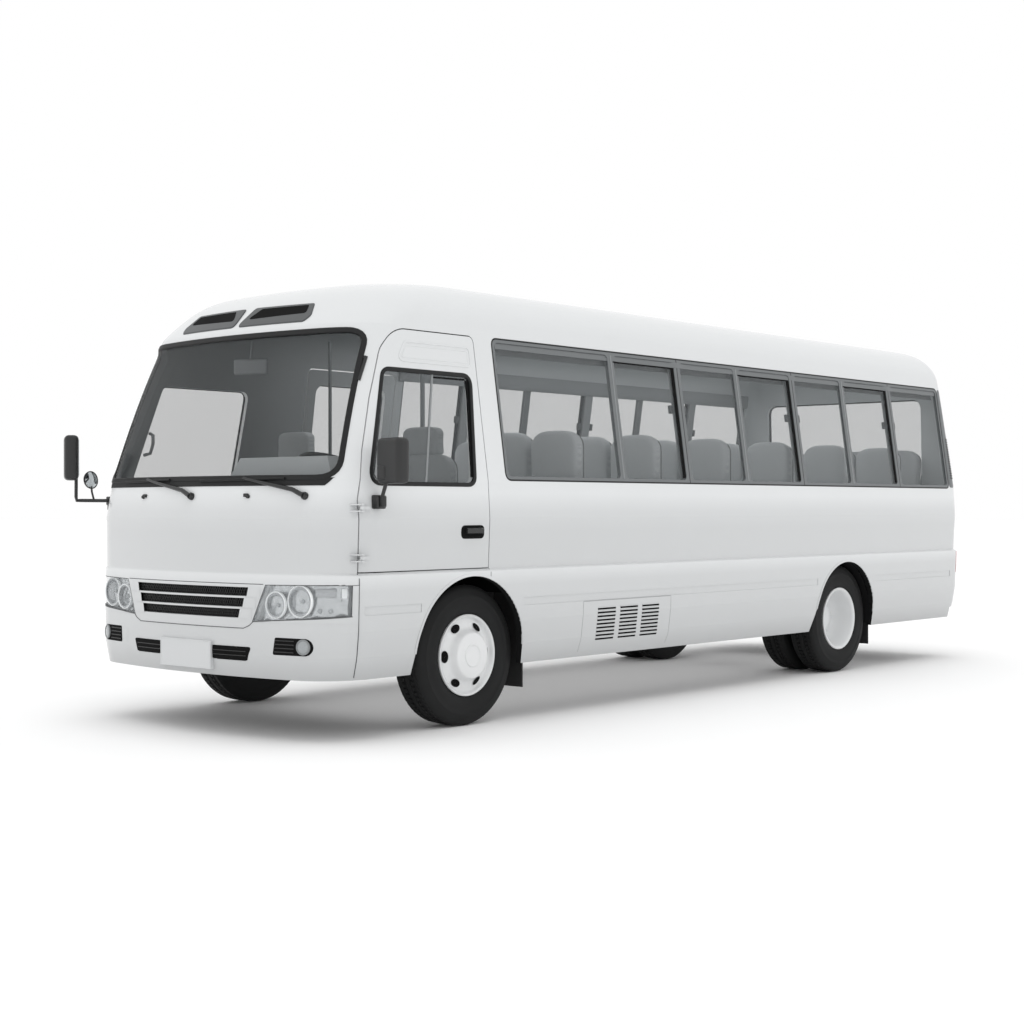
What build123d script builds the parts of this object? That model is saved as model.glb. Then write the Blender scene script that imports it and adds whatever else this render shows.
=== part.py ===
from build123d import *
import math
import os
from typing import NamedTuple

# Tour bus. Millimetres, +Z up, front towards -Y, driver's side towards +X.
# The origin is on the ground under the middle of the overall box.

# Overall sizes and stations
BODY_LENGTH = 6870.0
HALF_WIDTH = 1038.0
WHEELBASE = 3935.0
FRONT_OVERHANG = 1150.0
NOSE_DEPTH = 280.0
TAIL_DEPTH = 145.0
DOOR_LENGTH = 965.0
FRONT_Y = -BODY_LENGTH / 2
REAR_Y = BODY_LENGTH / 2
FRONT_AXLE_Y = FRONT_Y + FRONT_OVERHANG
REAR_AXLE_Y = FRONT_AXLE_Y + WHEELBASE
FRONT_SEAM_Y = FRONT_Y + NOSE_DEPTH
DOOR_REAR_Y = FRONT_SEAM_Y + DOOR_LENGTH
REAR_SEAM_Y = REAR_Y - TAIL_DEPTH

# Heights
SILL_Z = 316.0
BUMPER_TOP_Z = 598.0
FLOOR_Z = 700.0
LEDGE_Z = 845.0
CREASE_Z = 1125.0
BELT_Z = 1325.0
ROOF_SEAM_Z = 2135.0
WINDOW_H = ROOF_SEAM_Z - BELT_Z

# Walls and clearances
WALL = 38.0
GLASS_T = 6.0
GLASS_INSET = 7.0
FRAME_T = 24.0
FRAME_EDGE = 22.0
FLOOR_T = 24.0
SHEET_T = 16.0
TRIM_GAP = 8.0
GAP = 6.0
RUN = 0.08
JOIN = 0.3
FAR = 2000.0
CORE_X = 600.0

# Wheels, axles and steering
TYRE_R = 384.0
TYRE_W = 205.0
RIM_R = 228.0
RIM_T = 14.0
HUB_Z = TYRE_R
FRONT_WHEEL_X = 852.0
REAR_OUTER_X = 864.0
TWIN_PITCH = 246.0
STUB_R = 30.0
AXLE_R = 52.0
KINGPIN_X = 745.0
KINGPIN_R = 18.0
BOSS_H = 98.0
BOSS_R = 36.0
EYE_H = 30.0
EYE_R = 40.0
EYE_Z = BOSS_H / 2 + EYE_H / 2 + GAP
FRONT_DISH = 40.0
REAR_DISH = 70.0

# Frame rails
RAIL_X = 420.0
RAIL_W = 70.0
RAIL_Z0 = 540.0
SPRING_X = RAIL_X + 60.0
SPRING_W = 44.0
SPRING_Z0 = HUB_Z + 58.0
SPRING_Z1 = SPRING_Z0 + 40.0
SHAFT_Z = HUB_Z + 46.0
TOW_EYE_R = 16.0
TOW_LUG_T = 20.0

# Hinges
HINGE_R = 6.0
BARREL_R = 13.0
BARREL_H = 16.0
HINGE_LUG_T = 7.0
HINGE_PIN_H = 40.0

# Seats
CUSHION_Z = 1130.0
BACK_TOP_Z = 1640.0
CUSHION_T = 110.0
BACK_T = 100.0
BACK_ROUND = 90.0
CUSHION_L = 400.0
SEAT_W = 370.0
SEAT_GAP = 12.0
PAIR_X = 533.0
FOOT_W = 90.0
DRIVER_X = 450.0
DRIVER_W = 480.0
DRIVER_SEAT_Y = FRONT_SEAM_Y + 595.0
GUIDE_X = -580.0
GUIDE_SEAT_Y = DRIVER_SEAT_Y - 40.0
LEFT_ROWS = [-1700.0, -920.0, -140.0, 640.0, 1420.0, 2200.0]
RIGHT_ROWS = [-820.0, -40.0, 740.0, 1520.0, 2200.0]
REAR_BENCH_Y = REAR_SEAM_Y - 460.0


class Level(NamedTuple):
    """One horizontal outline of the body, as offsets from the overall sizes."""
    z: float
    tuck: float
    nose: float
    bow: float
    corner: float
    tail: float
    tail_corner: float
    tilt: float = 0.0


LOWER = [
    Level(SILL_Z, 48.0, 14.0, 3950.0, 296.0, 40.0, 130.0),
    Level(SILL_Z + 114, 24.0, 0.0, 3900.0, 298.0, 8.0, 130.0),
    Level(SILL_Z + 244, 8.0, 4.0, 3900.0, 300.0, 0.0, 125.0),
    Level(LEDGE_Z - 45, 0.0, 8.0, 3850.0, 300.0, 0.0, 125.0),
    Level(LEDGE_Z - 5, 0.0, 8.0, 3850.0, 300.0, 0.0, 125.0),
    Level(LEDGE_Z + 5, 17.0, 9.0, 3850.0, 300.0, 14.0, 120.0),
    Level(CREASE_Z, 6.0, 12.0, 3850.0, 300.0, 8.0, 120.0),
    Level(BELT_Z, 18.0, 44.0, 3800.0, 302.0, 12.0, 118.0),
]
WINDOW = [
    Level(BELT_Z, 18.0, 44.0, 3800.0, 302.0, 12.0, 118.0),
    Level(BELT_Z + WINDOW_H * 0.327, 56.7, 120.0, 3640.0, 305.0, 23.0, 117.0),
    Level(BELT_Z + WINDOW_H * 0.66, 96.2, 208.0, 3470.0, 308.0, 34.0, 116.0),
    Level(ROOF_SEAM_Z, 136.5, 318.0, 3300.0, 312.0, 45.0, 115.0),
]
ROOF = [
    Level(ROOF_SEAM_Z, 136.5, 318.0, 3300.0, 312.0, 45.0, 115.0),
    Level(ROOF_SEAM_Z + 46, 143.2, 360.0, 3280.0, 335.0, 49.0, 118.0),
    Level(ROOF_SEAM_Z + 125, 167.5, 443.0, 3240.0, 375.0, 67.0, 125.0, 26.0),
    Level(ROOF_SEAM_Z + 193.5, 215.6, 534.0, 3200.0, 405.0, 100.0, 140.0, 44.0),
    Level(ROOF_SEAM_Z + 244, 282.6, 679.0, 3150.0, 410.0, 150.0, 160.0, 62.0),
    Level(ROOF_SEAM_Z + 272, 364.6, 850.0, 3100.0, 405.0, 215.0, 180.0, 79.0),
    Level(ROOF_SEAM_Z + 286, 453.0, 1030.0, 3050.0, 385.0, 295.0, 190.0, 82.0),
    Level(ROOF_SEAM_Z + 298, 548.0, 1219.0, 3000.0, 345.0, 385.0, 190.0, 83.0),
    Level(ROOF_SEAM_Z + 308.5, 648.0, 1417.0, 2900.0, 300.0, 480.0, 180.0, 84.0),
    Level(ROOF_SEAM_Z + 316.5, 748.0, 1624.0, 2800.0, 235.0, 580.0, 150.0, 86.0),
    Level(ROOF_SEAM_Z + 322, 848.0, 1840.0, 2700.0, 160.0, 685.0, 110.0, 88.0),
]


class Post(NamedTuple):
    """An upright between two side panes."""
    y: float
    width: float


# Side glazing band
BAND_Z0 = BELT_Z + 7.0
BAND_Z1 = ROOF_SEAM_Z - 17.0
BAND_CORNER = 45.0
BAND_END_Y = REAR_SEAM_Y - 35.0
PANE_CORNER = 28.0
POSTS = [
    Post(-970.0, 16.0),
    Post(-287.0, 20.0),
    Post(385.0, 16.0),
    Post(1083.0, 20.0),
    Post(1765.0, 16.0),
    Post(2458.0, 20.0),
]

# Driver's door and its pane in side view (y, z), from the lower front
DOOR_SILL_Z = LEDGE_Z + 7.0
DOOR_SWEEP_R = 190.0
DOOR_CORNER_R = 40.0
DRIVER_DOOR = [
    (FRONT_SEAM_Y, DOOR_SILL_Z),
    (FRONT_SEAM_Y, BELT_Z - 105),
    (FRONT_SEAM_Y + 57, BELT_Z + WINDOW_H * 0.179),
    (FRONT_SEAM_Y + 143, BELT_Z + WINDOW_H * 0.512),
    (FRONT_SEAM_Y + 250, BELT_Z + WINDOW_H * 0.84),
    (FRONT_SEAM_Y + 355, BAND_Z1),
    (DOOR_REAR_Y, BAND_Z1),
    (DOOR_REAR_Y, DOOR_SILL_Z),
]
PANE_Z0 = BELT_Z - 15.0
PANE_Z1 = ROOF_SEAM_Z - 245.0
DRIVER_PANE = [
    (FRONT_SEAM_Y + 84, PANE_Z0),
    (FRONT_SEAM_Y + 255, PANE_Z1),
    (DOOR_REAR_Y - 62, PANE_Z1),
    (DOOR_REAR_Y - 115, PANE_Z0),
]
DRIVER_PANE_CORNER = 50.0
DRIVER_HINGE = (HALF_WIDTH, FRONT_SEAM_Y + 3, (LEDGE_Z + 85, BELT_Z - 145))

# Passenger door
ENTRY_Y0 = DOOR_REAR_Y + 400.0
ENTRY_Y1 = ENTRY_Y0 + 790.0
ENTRY_Z0 = SILL_Z + 46.0
ENTRY_Z1 = ROOF_SEAM_Z - 69.0
ENTRY_CORNER = 40.0
ENTRY_BORDER = 85.0
ENTRY_PANE_Z0 = BELT_Z - 315.0
ENTRY_PANE_Z1 = ROOF_SEAM_Z - 170.0
ENTRY_HINGE = (-HALF_WIDTH - 22, ENTRY_Y0 + 2, (SILL_Z + 244, LEDGE_Z + 205))
STEP_X = -690.0
STEP_EDGE_X = -830.0
STEP_Z = 530.0
WELL_Z = 368.0


class Arch(NamedTuple):
    """A wheel arch in side view, with the skirt's run forward at the sill."""
    y: float
    z: float
    radius: float
    flare: float


ARCHES = [
    Arch(FRONT_AXLE_Y - 40, HUB_Z + 10, TYRE_R + 36, TYRE_R + 71),
    Arch(REAR_AXLE_Y - 6, HUB_Z + 6, TYRE_R + 18, TYRE_R + 116),
]

class WheelBox(NamedTuple):
    """Inside of the sheet box over a wheel: inner face and the two ends."""
    x: float
    y0: float
    y1: float


BOX_TOP_Z = HUB_Z + TYRE_R + 74.0
WHEEL_BOXES = [
    WheelBox(FRONT_WHEEL_X - 340, FRONT_AXLE_Y - TYRE_R - 86, FRONT_AXLE_Y + TYRE_R + 56),
    WheelBox(REAR_OUTER_X - TWIN_PITCH - 126, REAR_AXLE_Y - TYRE_R - 36, REAR_AXLE_Y + TYRE_R + 28),
]

# Pressed grooves along the lower sides
GROOVE_Z0 = LEDGE_Z - 205.0
GROOVE_Z1 = GROOVE_Z0 + 45.0
GROOVE_DEPTH = 4.0
NOSE_GROOVE = (FRONT_SEAM_Y + 31, FRONT_AXLE_Y - 438)
LEFT_GROOVE = (FRONT_AXLE_Y + 373, REAR_AXLE_Y - 412)
RIGHT_GROOVE = (ENTRY_Y1 + 60, REAR_AXLE_Y - 412)
TAIL_GROOVE = (REAR_AXLE_Y + 377, REAR_SEAM_Y - 48)

# Front end in front view (x, z)
SCREEN_Z0 = BELT_Z + 13.0
SCREEN_Z1 = ROOF_SEAM_Z - 45.0
SCREEN_LOW_X = HALF_WIDTH - 108.0
SCREEN_TOP_X = HALF_WIDTH - 190.0
SCREEN_CORNER = 75.0
SCREEN = [(-SCREEN_LOW_X, SCREEN_Z0), (SCREEN_LOW_X, SCREEN_Z0),
          (SCREEN_TOP_X, SCREEN_Z1), (-SCREEN_TOP_X, SCREEN_Z1)]
LAMP_LOW_X = 490.0
LAMP_TOP_X = 574.0
LAMP_SEAM = 14.0
LAMP_Z0 = BUMPER_TOP_Z + 4.0
LAMP_Z1 = LAMP_Z0 + 188.0
LAMP_RISE = 12.0
GRILLE_RIM = 28.0
SLOT_H = 46.0
SLOT_PITCH = 56.0
SLOT_COUNT = 3
RECESS = 24.0
FOG_X0 = 560.0
FOG_X1 = 900.0
FOG_Z = BUMPER_TOP_Z - 118.0
FOG_H = 80.0
FOG_R = 32.0
INTAKE_X0 = 232.0
INTAKE_X1 = 456.0
INTAKE_Z0 = SILL_Z + 84.0
INTAKE_H = 70.0
PLATE_HALF = 210.0
PLATE_T = 8.0

# Roof vents in front view
VENT_PROUD = 5.0
VENT_IN_X = 8.0
VENT_LOW_X = 520.0
VENT_TOP_X = 470.0
VENT_Z0 = ROOF_SEAM_Z + 15.0
VENT_Z1 = ROOF_SEAM_Z + 127.0

# Tail
TAIL_GLASS_X = 720.0
TAIL_GLASS_Z0 = BELT_Z + 47.0
TAIL_GLASS_Z1 = ROOF_SEAM_Z - 85.0
TAIL_LAMP_X0 = 800.0
TAIL_LAMP_X1 = 985.0
TAIL_LAMP_Z0 = BUMPER_TOP_Z + 42.0
TAIL_LAMP_Z1 = TAIL_LAMP_Z0 + 370.0
TAIL_SILL_Z = SILL_Z + 79.0

# Mirrors: size of the heads and their middles
MIRROR_ROUND = 30.0
LEFT_HEAD = (220.0, 90.0, 230.0)
LEFT_HEAD_AT = (HALF_WIDTH + 122, FRONT_SEAM_Y + 95, BELT_Z + 90)
RIGHT_HEAD = (190.0, 90.0, 260.0)
RIGHT_HEAD_AT = (-HALF_WIDTH - 127, FRONT_SEAM_Y - 175, BELT_Z + 115)
MIRROR_BASE_Z0 = BELT_Z - 135.0
MIRROR_BASE_H = 50.0
MIRROR_ROD = 30.0

# Dashboard and steering wheel
DASH_Y0 = FRONT_Y + 95.0
DASH_Y1 = FRONT_SEAM_Y + 145.0
DASH_Z0 = FLOOR_Z + 180.0
DASH_Z1 = BELT_Z - 60.0
CONSOLE_X = 160.0
HOOD_Y0 = DASH_Y1 - 150.0
HOOD_Y1 = DASH_Y1 - 30.0
HOOD = [(-70.0, DASH_Z1 - 20), (110.0, DASH_Z1 + 180), (790.0, DASH_Z1 + 180), (850.0, DASH_Z1 - 20)]
WHEEL_Y = DASH_Y1 + 235.0
WHEEL_Z = DASH_Z1 + 120.0
WHEEL_RING_R = 205.0
WHEEL_GRIP_R = 16.0
WHEEL_TILT = -22.0
COLUMN_TILT = -20.0
COLUMN_R = 26.0
COLUMN_LENGTH = 800.0

# Wipers: pivots across the nose, and the blades
WIPER_PROUD = 16.0
WIPER_CLEAR = 3.0
WIPER_Z = BELT_Z - 63.0
WIPER_PIVOTS = [590.0, -130.0]
PIVOT_R = 24.0
BLADE_RUN = (-530.0, 100.0)
BLADE_RISE = 10.0
BLADE_H = 14.0


def outline(level, inset=0.0):
    """Horizontal body outline as a face: bow, corners, sides and tail."""
    w = HALF_WIDTH - level.tuck - inset
    front = FRONT_Y + level.nose + inset
    rear = REAR_Y - level.tail - inset
    bow = level.bow - inset
    corner = min(level.corner - inset, 0.85 * w)
    tail = max(min(level.tail_corner - inset, 0.6 * w), 20.0)
    z = level.z
    bow_y = front + bow
    cx = w - corner
    cy = bow_y - math.sqrt((bow - corner) ** 2 - cx ** 2)
    k = bow / (bow - corner)
    tx = cx * k
    ty = bow_y + (cy - bow_y) * k
    a = math.atan2(ty - cy, tx - cx) / 2
    mx = cx + corner * math.cos(a)
    my = cy + corner * math.sin(a)
    c45 = math.cos(math.pi / 4)
    rx = w - tail
    ry = rear - tail
    qx = rx + tail * c45
    qy = ry + tail * c45
    edges = [
        ThreePointArc((-tx, ty, z), (0, front, z), (tx, ty, z)),
        ThreePointArc((tx, ty, z), (mx, my, z), (w, cy, z)),
        Line((w, cy, z), (w, ry, z)),
        ThreePointArc((w, ry, z), (qx, qy, z), (rx, rear, z)),
        Line((rx, rear, z), (-rx, rear, z)),
        ThreePointArc((-rx, rear, z), (-qx, qy, z), (-w, ry, z)),
        Line((-w, ry, z), (-w, cy, z)),
        ThreePointArc((-w, cy, z), (-mx, my, z), (-tx, ty, z)),
    ]
    return Face(Wire(edges))


def hull(levels, inset=0.0, ruled=True):
    """Closed block through the levels, drawn in by inset."""
    return Solid(loft([outline(v, inset) for v in levels], ruled=ruled).wrapped)


def sunk(level):
    """A roof level moved inwards by the wall, square to the skin."""
    tilt = math.radians(level.tilt)
    d = WALL * math.cos(tilt)
    return Level(
        level.z - WALL * math.sin(tilt), level.tuck + d, level.nose + d, level.bow - d,
        level.corner - d, level.tail + d, max(level.tail_corner - d, 60.0),
    )


def block(x0, x1, y0, y1, z0, z1):
    """Box between two corners given in either order along X."""
    lo, hi = sorted((x0, x1))
    box = Box(hi - lo, y1 - y0, z1 - z0)
    return Pos((lo + hi) / 2, (y0 + y1) / 2, (z0 + z1) / 2) * box


def poly_face(points, radius=0.0):
    """Closed polygon on the XY plane with rounded corners."""
    face = Polygon(*points, align=None)
    if radius > 0:
        face = fillet(face.vertices(), radius)
    return face


def side_prism(points, x0, x1, radius=0.0):
    """Prism along X of an outline given as (y, z)."""
    face = Plane.YZ * poly_face(points, radius)
    return Pos(x0, 0, 0) * extrude(face, x1 - x0, dir=(1, 0, 0))


def front_prism(points, y0, y1, radius=0.0):
    """Prism along Y of an outline given as (x, z)."""
    face = Plane.XZ * poly_face(points, radius)
    return Pos(0, y0, 0) * extrude(face, y1 - y0, dir=(0, 1, 0))


def rect(a0, a1, b0, b1):
    """Corner list of a rectangle given in either order along the first axis."""
    lo, hi = sorted((a0, a1))
    return [(lo, b0), (hi, b0), (hi, b1), (lo, b1)]


def rod(x, y, z, axis, length, radius):
    """Cylinder centred on a point along a named axis."""
    turn = {"X": Rot(0, 90, 0), "Y": Rot(90, 0, 0), "Z": Rot(0, 0, 0)}[axis]
    return Pos(x, y, z) * turn * Cylinder(radius, length)


def union(shapes):
    """One shape from a list."""
    out = shapes[0]
    for s in shapes[1:]:
        out = out + s
    return out


def only(shape):
    """The solids of a boolean result as one shape, slivers dropped."""
    solids = [s for s in shape.solids() if s.volume > 500.0]
    return solids[0] if len(solids) == 1 else Compound(children=solids)


def group(shapes):
    """Separate solids held in one node."""
    return Compound(children=[s for shape in shapes for s in shape.solids()])


nodes = {}
SIDES = (("left", 1), ("right", -1))
AHEAD_Y = FRONT_Y - 100.0
BEHIND_Y = REAR_Y + 100.0
UNDER_Z = SILL_Z - 116.0

# Shell layers
lower_out = hull(LOWER)
deep_sill = LOWER[0]._replace(z=SILL_Z - SHEET_T)
lower_in = hull([deep_sill] + LOWER[1:], WALL)
window_out = hull(WINDOW, 0.0, False)
window_in = hull(WINDOW, WALL, False)
window_frame_in = hull(WINDOW, FRAME_T, False)
glass_out = hull(WINDOW, GLASS_INSET, False)
glass_in = hull(WINDOW, GLASS_INSET + GLASS_T, False)
roof_out = hull(ROOF, 0.0, False)
roof_in = Solid(loft([outline(sunk(v)) for v in ROOF]).wrapped)
lower_ring = lower_out - lower_in
window_ring = window_out - window_in
glass_ring = glass_out - glass_in
frame_ring = window_out - window_frame_in
nodes["roof"] = only(roof_out - roof_in)

# Cutters
arch_cuts = []
for arch in ARCHES:
    skirt = [
        (arch.y - arch.flare, UNDER_Z), (arch.y - arch.radius + 4, arch.z + 86),
        (arch.y + arch.radius - 4, arch.z + 86), (arch.y + arch.radius + 30, UNDER_Z),
    ]
    arch_cuts.append(rod(0, arch.y, arch.z, "X", 2 * FAR, arch.radius))
    arch_cuts.append(side_prism(skirt, -FAR, FAR))
arch_cut = union(arch_cuts)
door_face = poly_face(DRIVER_DOOR)
for corners, radius in ((DRIVER_DOOR[4:6], DOOR_SWEEP_R), (DRIVER_DOOR[6:7], DOOR_CORNER_R)):
    spots = [Vector(y, z) for y, z in corners]
    rounds = [v for v in door_face.vertices() if any((v.center() - p).length < 1.0 for p in spots)]
    door_face = fillet(rounds, radius)
leaf_face = offset(door_face, -GAP, kind=Kind.INTERSECTION)
driver_hole, driver_leaf = [
    Pos(CORE_X, 0, 0) * extrude(Plane.YZ * face, FAR - CORE_X, dir=(1, 0, 0)) for face in (door_face, leaf_face)
]
driver_pane = side_prism(DRIVER_PANE, CORE_X, FAR, DRIVER_PANE_CORNER)
mate_pane = side_prism(DRIVER_PANE, -FAR, -CORE_X, DRIVER_PANE_CORNER)
entry_hole = side_prism(rect(ENTRY_Y0, ENTRY_Y1, ENTRY_Z0, ENTRY_Z1), -FAR, -CORE_X, ENTRY_CORNER)
entry_leaf = side_prism(
    rect(ENTRY_Y0 + GAP, ENTRY_Y1 - GAP, ENTRY_Z0 + GAP, ENTRY_Z1 - GAP), -FAR, -CORE_X, ENTRY_CORNER - 4
)
entry_pane = side_prism(
    rect(ENTRY_Y0 + ENTRY_BORDER, ENTRY_Y1 - ENTRY_BORDER, ENTRY_PANE_Z0, ENTRY_PANE_Z1), -FAR, -CORE_X, 60
)
LEFT_BAND_Y = DOOR_REAR_Y + 147.0
RIGHT_BAND_Y = ENTRY_Y1 + 70.0
left_band = side_prism(rect(LEFT_BAND_Y, BAND_END_Y, BAND_Z0, BAND_Z1), CORE_X, FAR, BAND_CORNER)
right_band = side_prism(rect(RIGHT_BAND_Y, BAND_END_Y, BAND_Z0, BAND_Z1), -FAR, -CORE_X, BAND_CORNER)
screen_cut = front_prism(SCREEN, AHEAD_Y, FRONT_SEAM_Y + 275, SCREEN_CORNER)
lamp_face = [
    (LAMP_LOW_X, LAMP_Z0), (HALF_WIDTH + 52, LAMP_Z0 + LAMP_RISE),
    (HALF_WIDTH + 52, LAMP_Z1 + LAMP_RISE / 2), (LAMP_TOP_X, LAMP_Z1),
]
lamp_cuts = [front_prism([(s * x, z) for x, z in lamp_face], AHEAD_Y, FRONT_SEAM_Y) for _, s in SIDES]
low_x = LAMP_LOW_X - LAMP_SEAM
top_x = LAMP_TOP_X - LAMP_SEAM
grille_cut = front_prism(
    [(-low_x, LAMP_Z0), (low_x, LAMP_Z0), (top_x, LAMP_Z1), (-top_x, LAMP_Z1)], AHEAD_Y, FRONT_SEAM_Y
)
bumper_zone = block(-FAR, FAR, AHEAD_Y, FRONT_SEAM_Y, UNDER_Z, BUMPER_TOP_Z)
groove_ring = lower_out - hull(LOWER, GROOVE_DEPTH)


def groove(run, s):
    """The pressed groove over one run of one side."""
    return groove_ring & block(s * CORE_X, s * FAR, run[0], run[1], GROOVE_Z0, GROOVE_Z1)


# Front shell with pillars, nose and the panel beside the front seat
front_low = lower_ring & block(-FAR, FAR, AHEAD_Y, DOOR_REAR_Y, UNDER_Z, BELT_Z)
front_low = front_low - bumper_zone - union(lamp_cuts) - grille_cut - driver_hole - arch_cut
for _, s in SIDES:
    front_low = front_low - groove(NOSE_GROOVE, s)
front_high = window_ring & block(-FAR, FAR, AHEAD_Y, DOOR_REAR_Y, BELT_Z, ROOF_SEAM_Z)
front_high = front_high - screen_cut - driver_hole - mate_pane
front_shell = front_low + front_high - mate_pane

# Bumper, lamps and grille
skin = lower_out - hull(LOWER[:5], RECESS)
recesses = []
for _, s in SIDES:
    pill = rect(s * FOG_X0, s * FOG_X1, FOG_Z - FOG_H / 2, FOG_Z + FOG_H / 2)
    recesses.append(front_prism(pill, AHEAD_Y, FRONT_SEAM_Y, FOG_H * 0.45))
    intake = rect(s * INTAKE_X0, s * INTAKE_X1, INTAKE_Z0, INTAKE_Z0 + INTAKE_H)
    recesses.append(front_prism(intake, AHEAD_Y, FRONT_SEAM_Y, 12))
nodes["front_bumper"] = only((lower_ring & bumper_zone) - (skin & union(recesses)))
lamps = [lower_ring & cut for cut in lamp_cuts]
fogs = [skin & rod(s * 800, FRONT_SEAM_Y - 45, FOG_Z, "Y", 500, FOG_R) for _, s in SIDES]
nodes["front_lamps"] = group(lamps + fogs)
slots = []
for i in range(SLOT_COUNT):
    z = LAMP_Z0 + 16 + i * SLOT_PITCH
    slots.append(front_prism(rect(-LAMP_TOP_X, LAMP_TOP_X, z, z + SLOT_H), AHEAD_Y, FRONT_SEAM_Y))
low_x = low_x - GRILLE_RIM
top_x = top_x - GRILLE_RIM - 4
mouth = front_prism(
    [(-low_x, LAMP_Z0 + 8), (low_x, LAMP_Z0 + 8), (top_x, LAMP_Z1 - 8), (-top_x, LAMP_Z1 - 8)],
    AHEAD_Y, FRONT_SEAM_Y,
)
nodes["grille"] = only((lower_ring & grille_cut) - (skin & union(slots) & mouth))
nodes["windscreen"] = only(glass_ring & screen_cut)

# Sides
left_low = lower_ring & block(CORE_X, FAR, DOOR_REAR_Y, REAR_SEAM_Y, UNDER_Z, BELT_Z)
left_high = window_ring & block(CORE_X, FAR, DOOR_REAR_Y, REAR_SEAM_Y, BELT_Z, ROOF_SEAM_Z)
left_low = left_low - arch_cut - groove(LEFT_GROOVE, 1) - groove(TAIL_GROOVE, 1)
nodes["left_side"] = only(left_low + (left_high - left_band))
right_low = lower_ring & block(-FAR, -CORE_X, DOOR_REAR_Y, REAR_SEAM_Y, UNDER_Z, BELT_Z)
right_high = window_ring & block(-FAR, -CORE_X, DOOR_REAR_Y, REAR_SEAM_Y, BELT_Z, ROOF_SEAM_Z)
right_low = right_low - arch_cut - entry_hole - groove(RIGHT_GROOVE, -1) - groove(TAIL_GROOVE, -1)
right_side = right_low + (right_high - right_band - entry_hole)


def panes_between(start, posts):
    """Ends of the panes from a start to the end of the band."""
    ends = []
    for post in posts:
        ends.append((start, post.y - post.width / 2))
        start = post.y + post.width / 2
    ends.append((start, BAND_END_Y))
    return ends


# Side glazing
frames = []
panes = [glass_ring & mate_pane]
for start, posts, band, s in ((LEFT_BAND_Y, POSTS, left_band, 1), (RIGHT_BAND_Y, POSTS[1:], right_band, -1)):
    frame = frame_ring & band
    for y0, y1 in panes_between(start, posts):
        edge = rect(y0 + FRAME_EDGE, y1 - FRAME_EDGE, BAND_Z0 + FRAME_EDGE, BAND_Z1 - FRAME_EDGE)
        hole = side_prism(edge, min(s * CORE_X, s * FAR), max(s * CORE_X, s * FAR), PANE_CORNER)
        frame = frame - hole
        panes.append(glass_ring & hole)
    frames.append(frame)
nodes["window_frames"] = group(frames)
nodes["side_glass"] = group(panes)

# Tail
tail_window = front_prism(
    rect(-TAIL_GLASS_X, TAIL_GLASS_X, TAIL_GLASS_Z0, TAIL_GLASS_Z1), REAR_SEAM_Y, BEHIND_Y, 80
)
tail_cut = union([
    front_prism(rect(s * TAIL_LAMP_X0, s * TAIL_LAMP_X1, TAIL_LAMP_Z0, TAIL_LAMP_Z1), REAR_SEAM_Y, BEHIND_Y, 30)
    for _, s in SIDES
])
rear_low = lower_ring & block(-FAR, FAR, REAR_SEAM_Y, BEHIND_Y, BUMPER_TOP_Z, BELT_Z)
rear_high = window_ring & block(-FAR, FAR, REAR_SEAM_Y, BEHIND_Y, BELT_Z, ROOF_SEAM_Z)
nodes["rear_panel"] = only((rear_low - tail_cut) + (rear_high - tail_window))
nodes["rear_glass"] = only(glass_ring & tail_window)
nodes["tail_lamps"] = group([lower_ring & tail_cut])
nodes["rear_bumper"] = only(lower_ring & block(-FAR, FAR, REAR_SEAM_Y, BEHIND_Y, TAIL_SILL_Z, BUMPER_TOP_Z))

# Roof vents: two covers proud of the dome
vent_out = Solid(loft([outline(v, -VENT_PROUD) for v in ROOF[:4]]).wrapped) - roof_out
vents = []
for _, s in SIDES:
    face = [(s * VENT_IN_X, VENT_Z0), (s * VENT_LOW_X, VENT_Z0), (s * VENT_TOP_X, VENT_Z1), (s * VENT_IN_X, VENT_Z1)]
    vents.append(vent_out & front_prism(face, FRONT_Y, FRONT_SEAM_Y + 255, 14))
nodes["roof_vents"] = group(vents)


def hinge(axis, s):
    """Fixed lugs with pins, and the leaf's barrels, of one door hinge line."""
    x, y, heights = axis
    fixed = []
    moving = []
    for z in heights:
        fixed.append(rod(x, y, z, "Z", HINGE_PIN_H, HINGE_R))
        for e in (1, -1):
            zc = z + e * (BARREL_H / 2 + HINGE_LUG_T / 2 + 5)
            z0, z1 = zc - HINGE_LUG_T / 2, zc + HINGE_LUG_T / 2
            plate = block(x - s * 48, x + s * 2, y - 40, y - 8, z0, z1) - lower_out
            web = block(x, x - s * (BARREL_R + 1), y - 20, y, z0, z1)
            fixed.append(plate + web + rod(x, y, zc, "Z", HINGE_LUG_T, BARREL_R))
        z0, z1 = z - BARREL_H / 2, z + BARREL_H / 2
        foot = block(x - s * 48, x + s * 2, y + 12, y + 52, z0, z1) - lower_out
        web = block(x, x - s * 10, y, y + 20, z0, z1)
        barrel = rod(x, y, z, "Z", BARREL_H, BARREL_R) + web + foot
        moving.append(barrel - rod(x, y, z, "Z", HINGE_PIN_H, HINGE_R + RUN))
    return union(fixed), union(moving)


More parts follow.
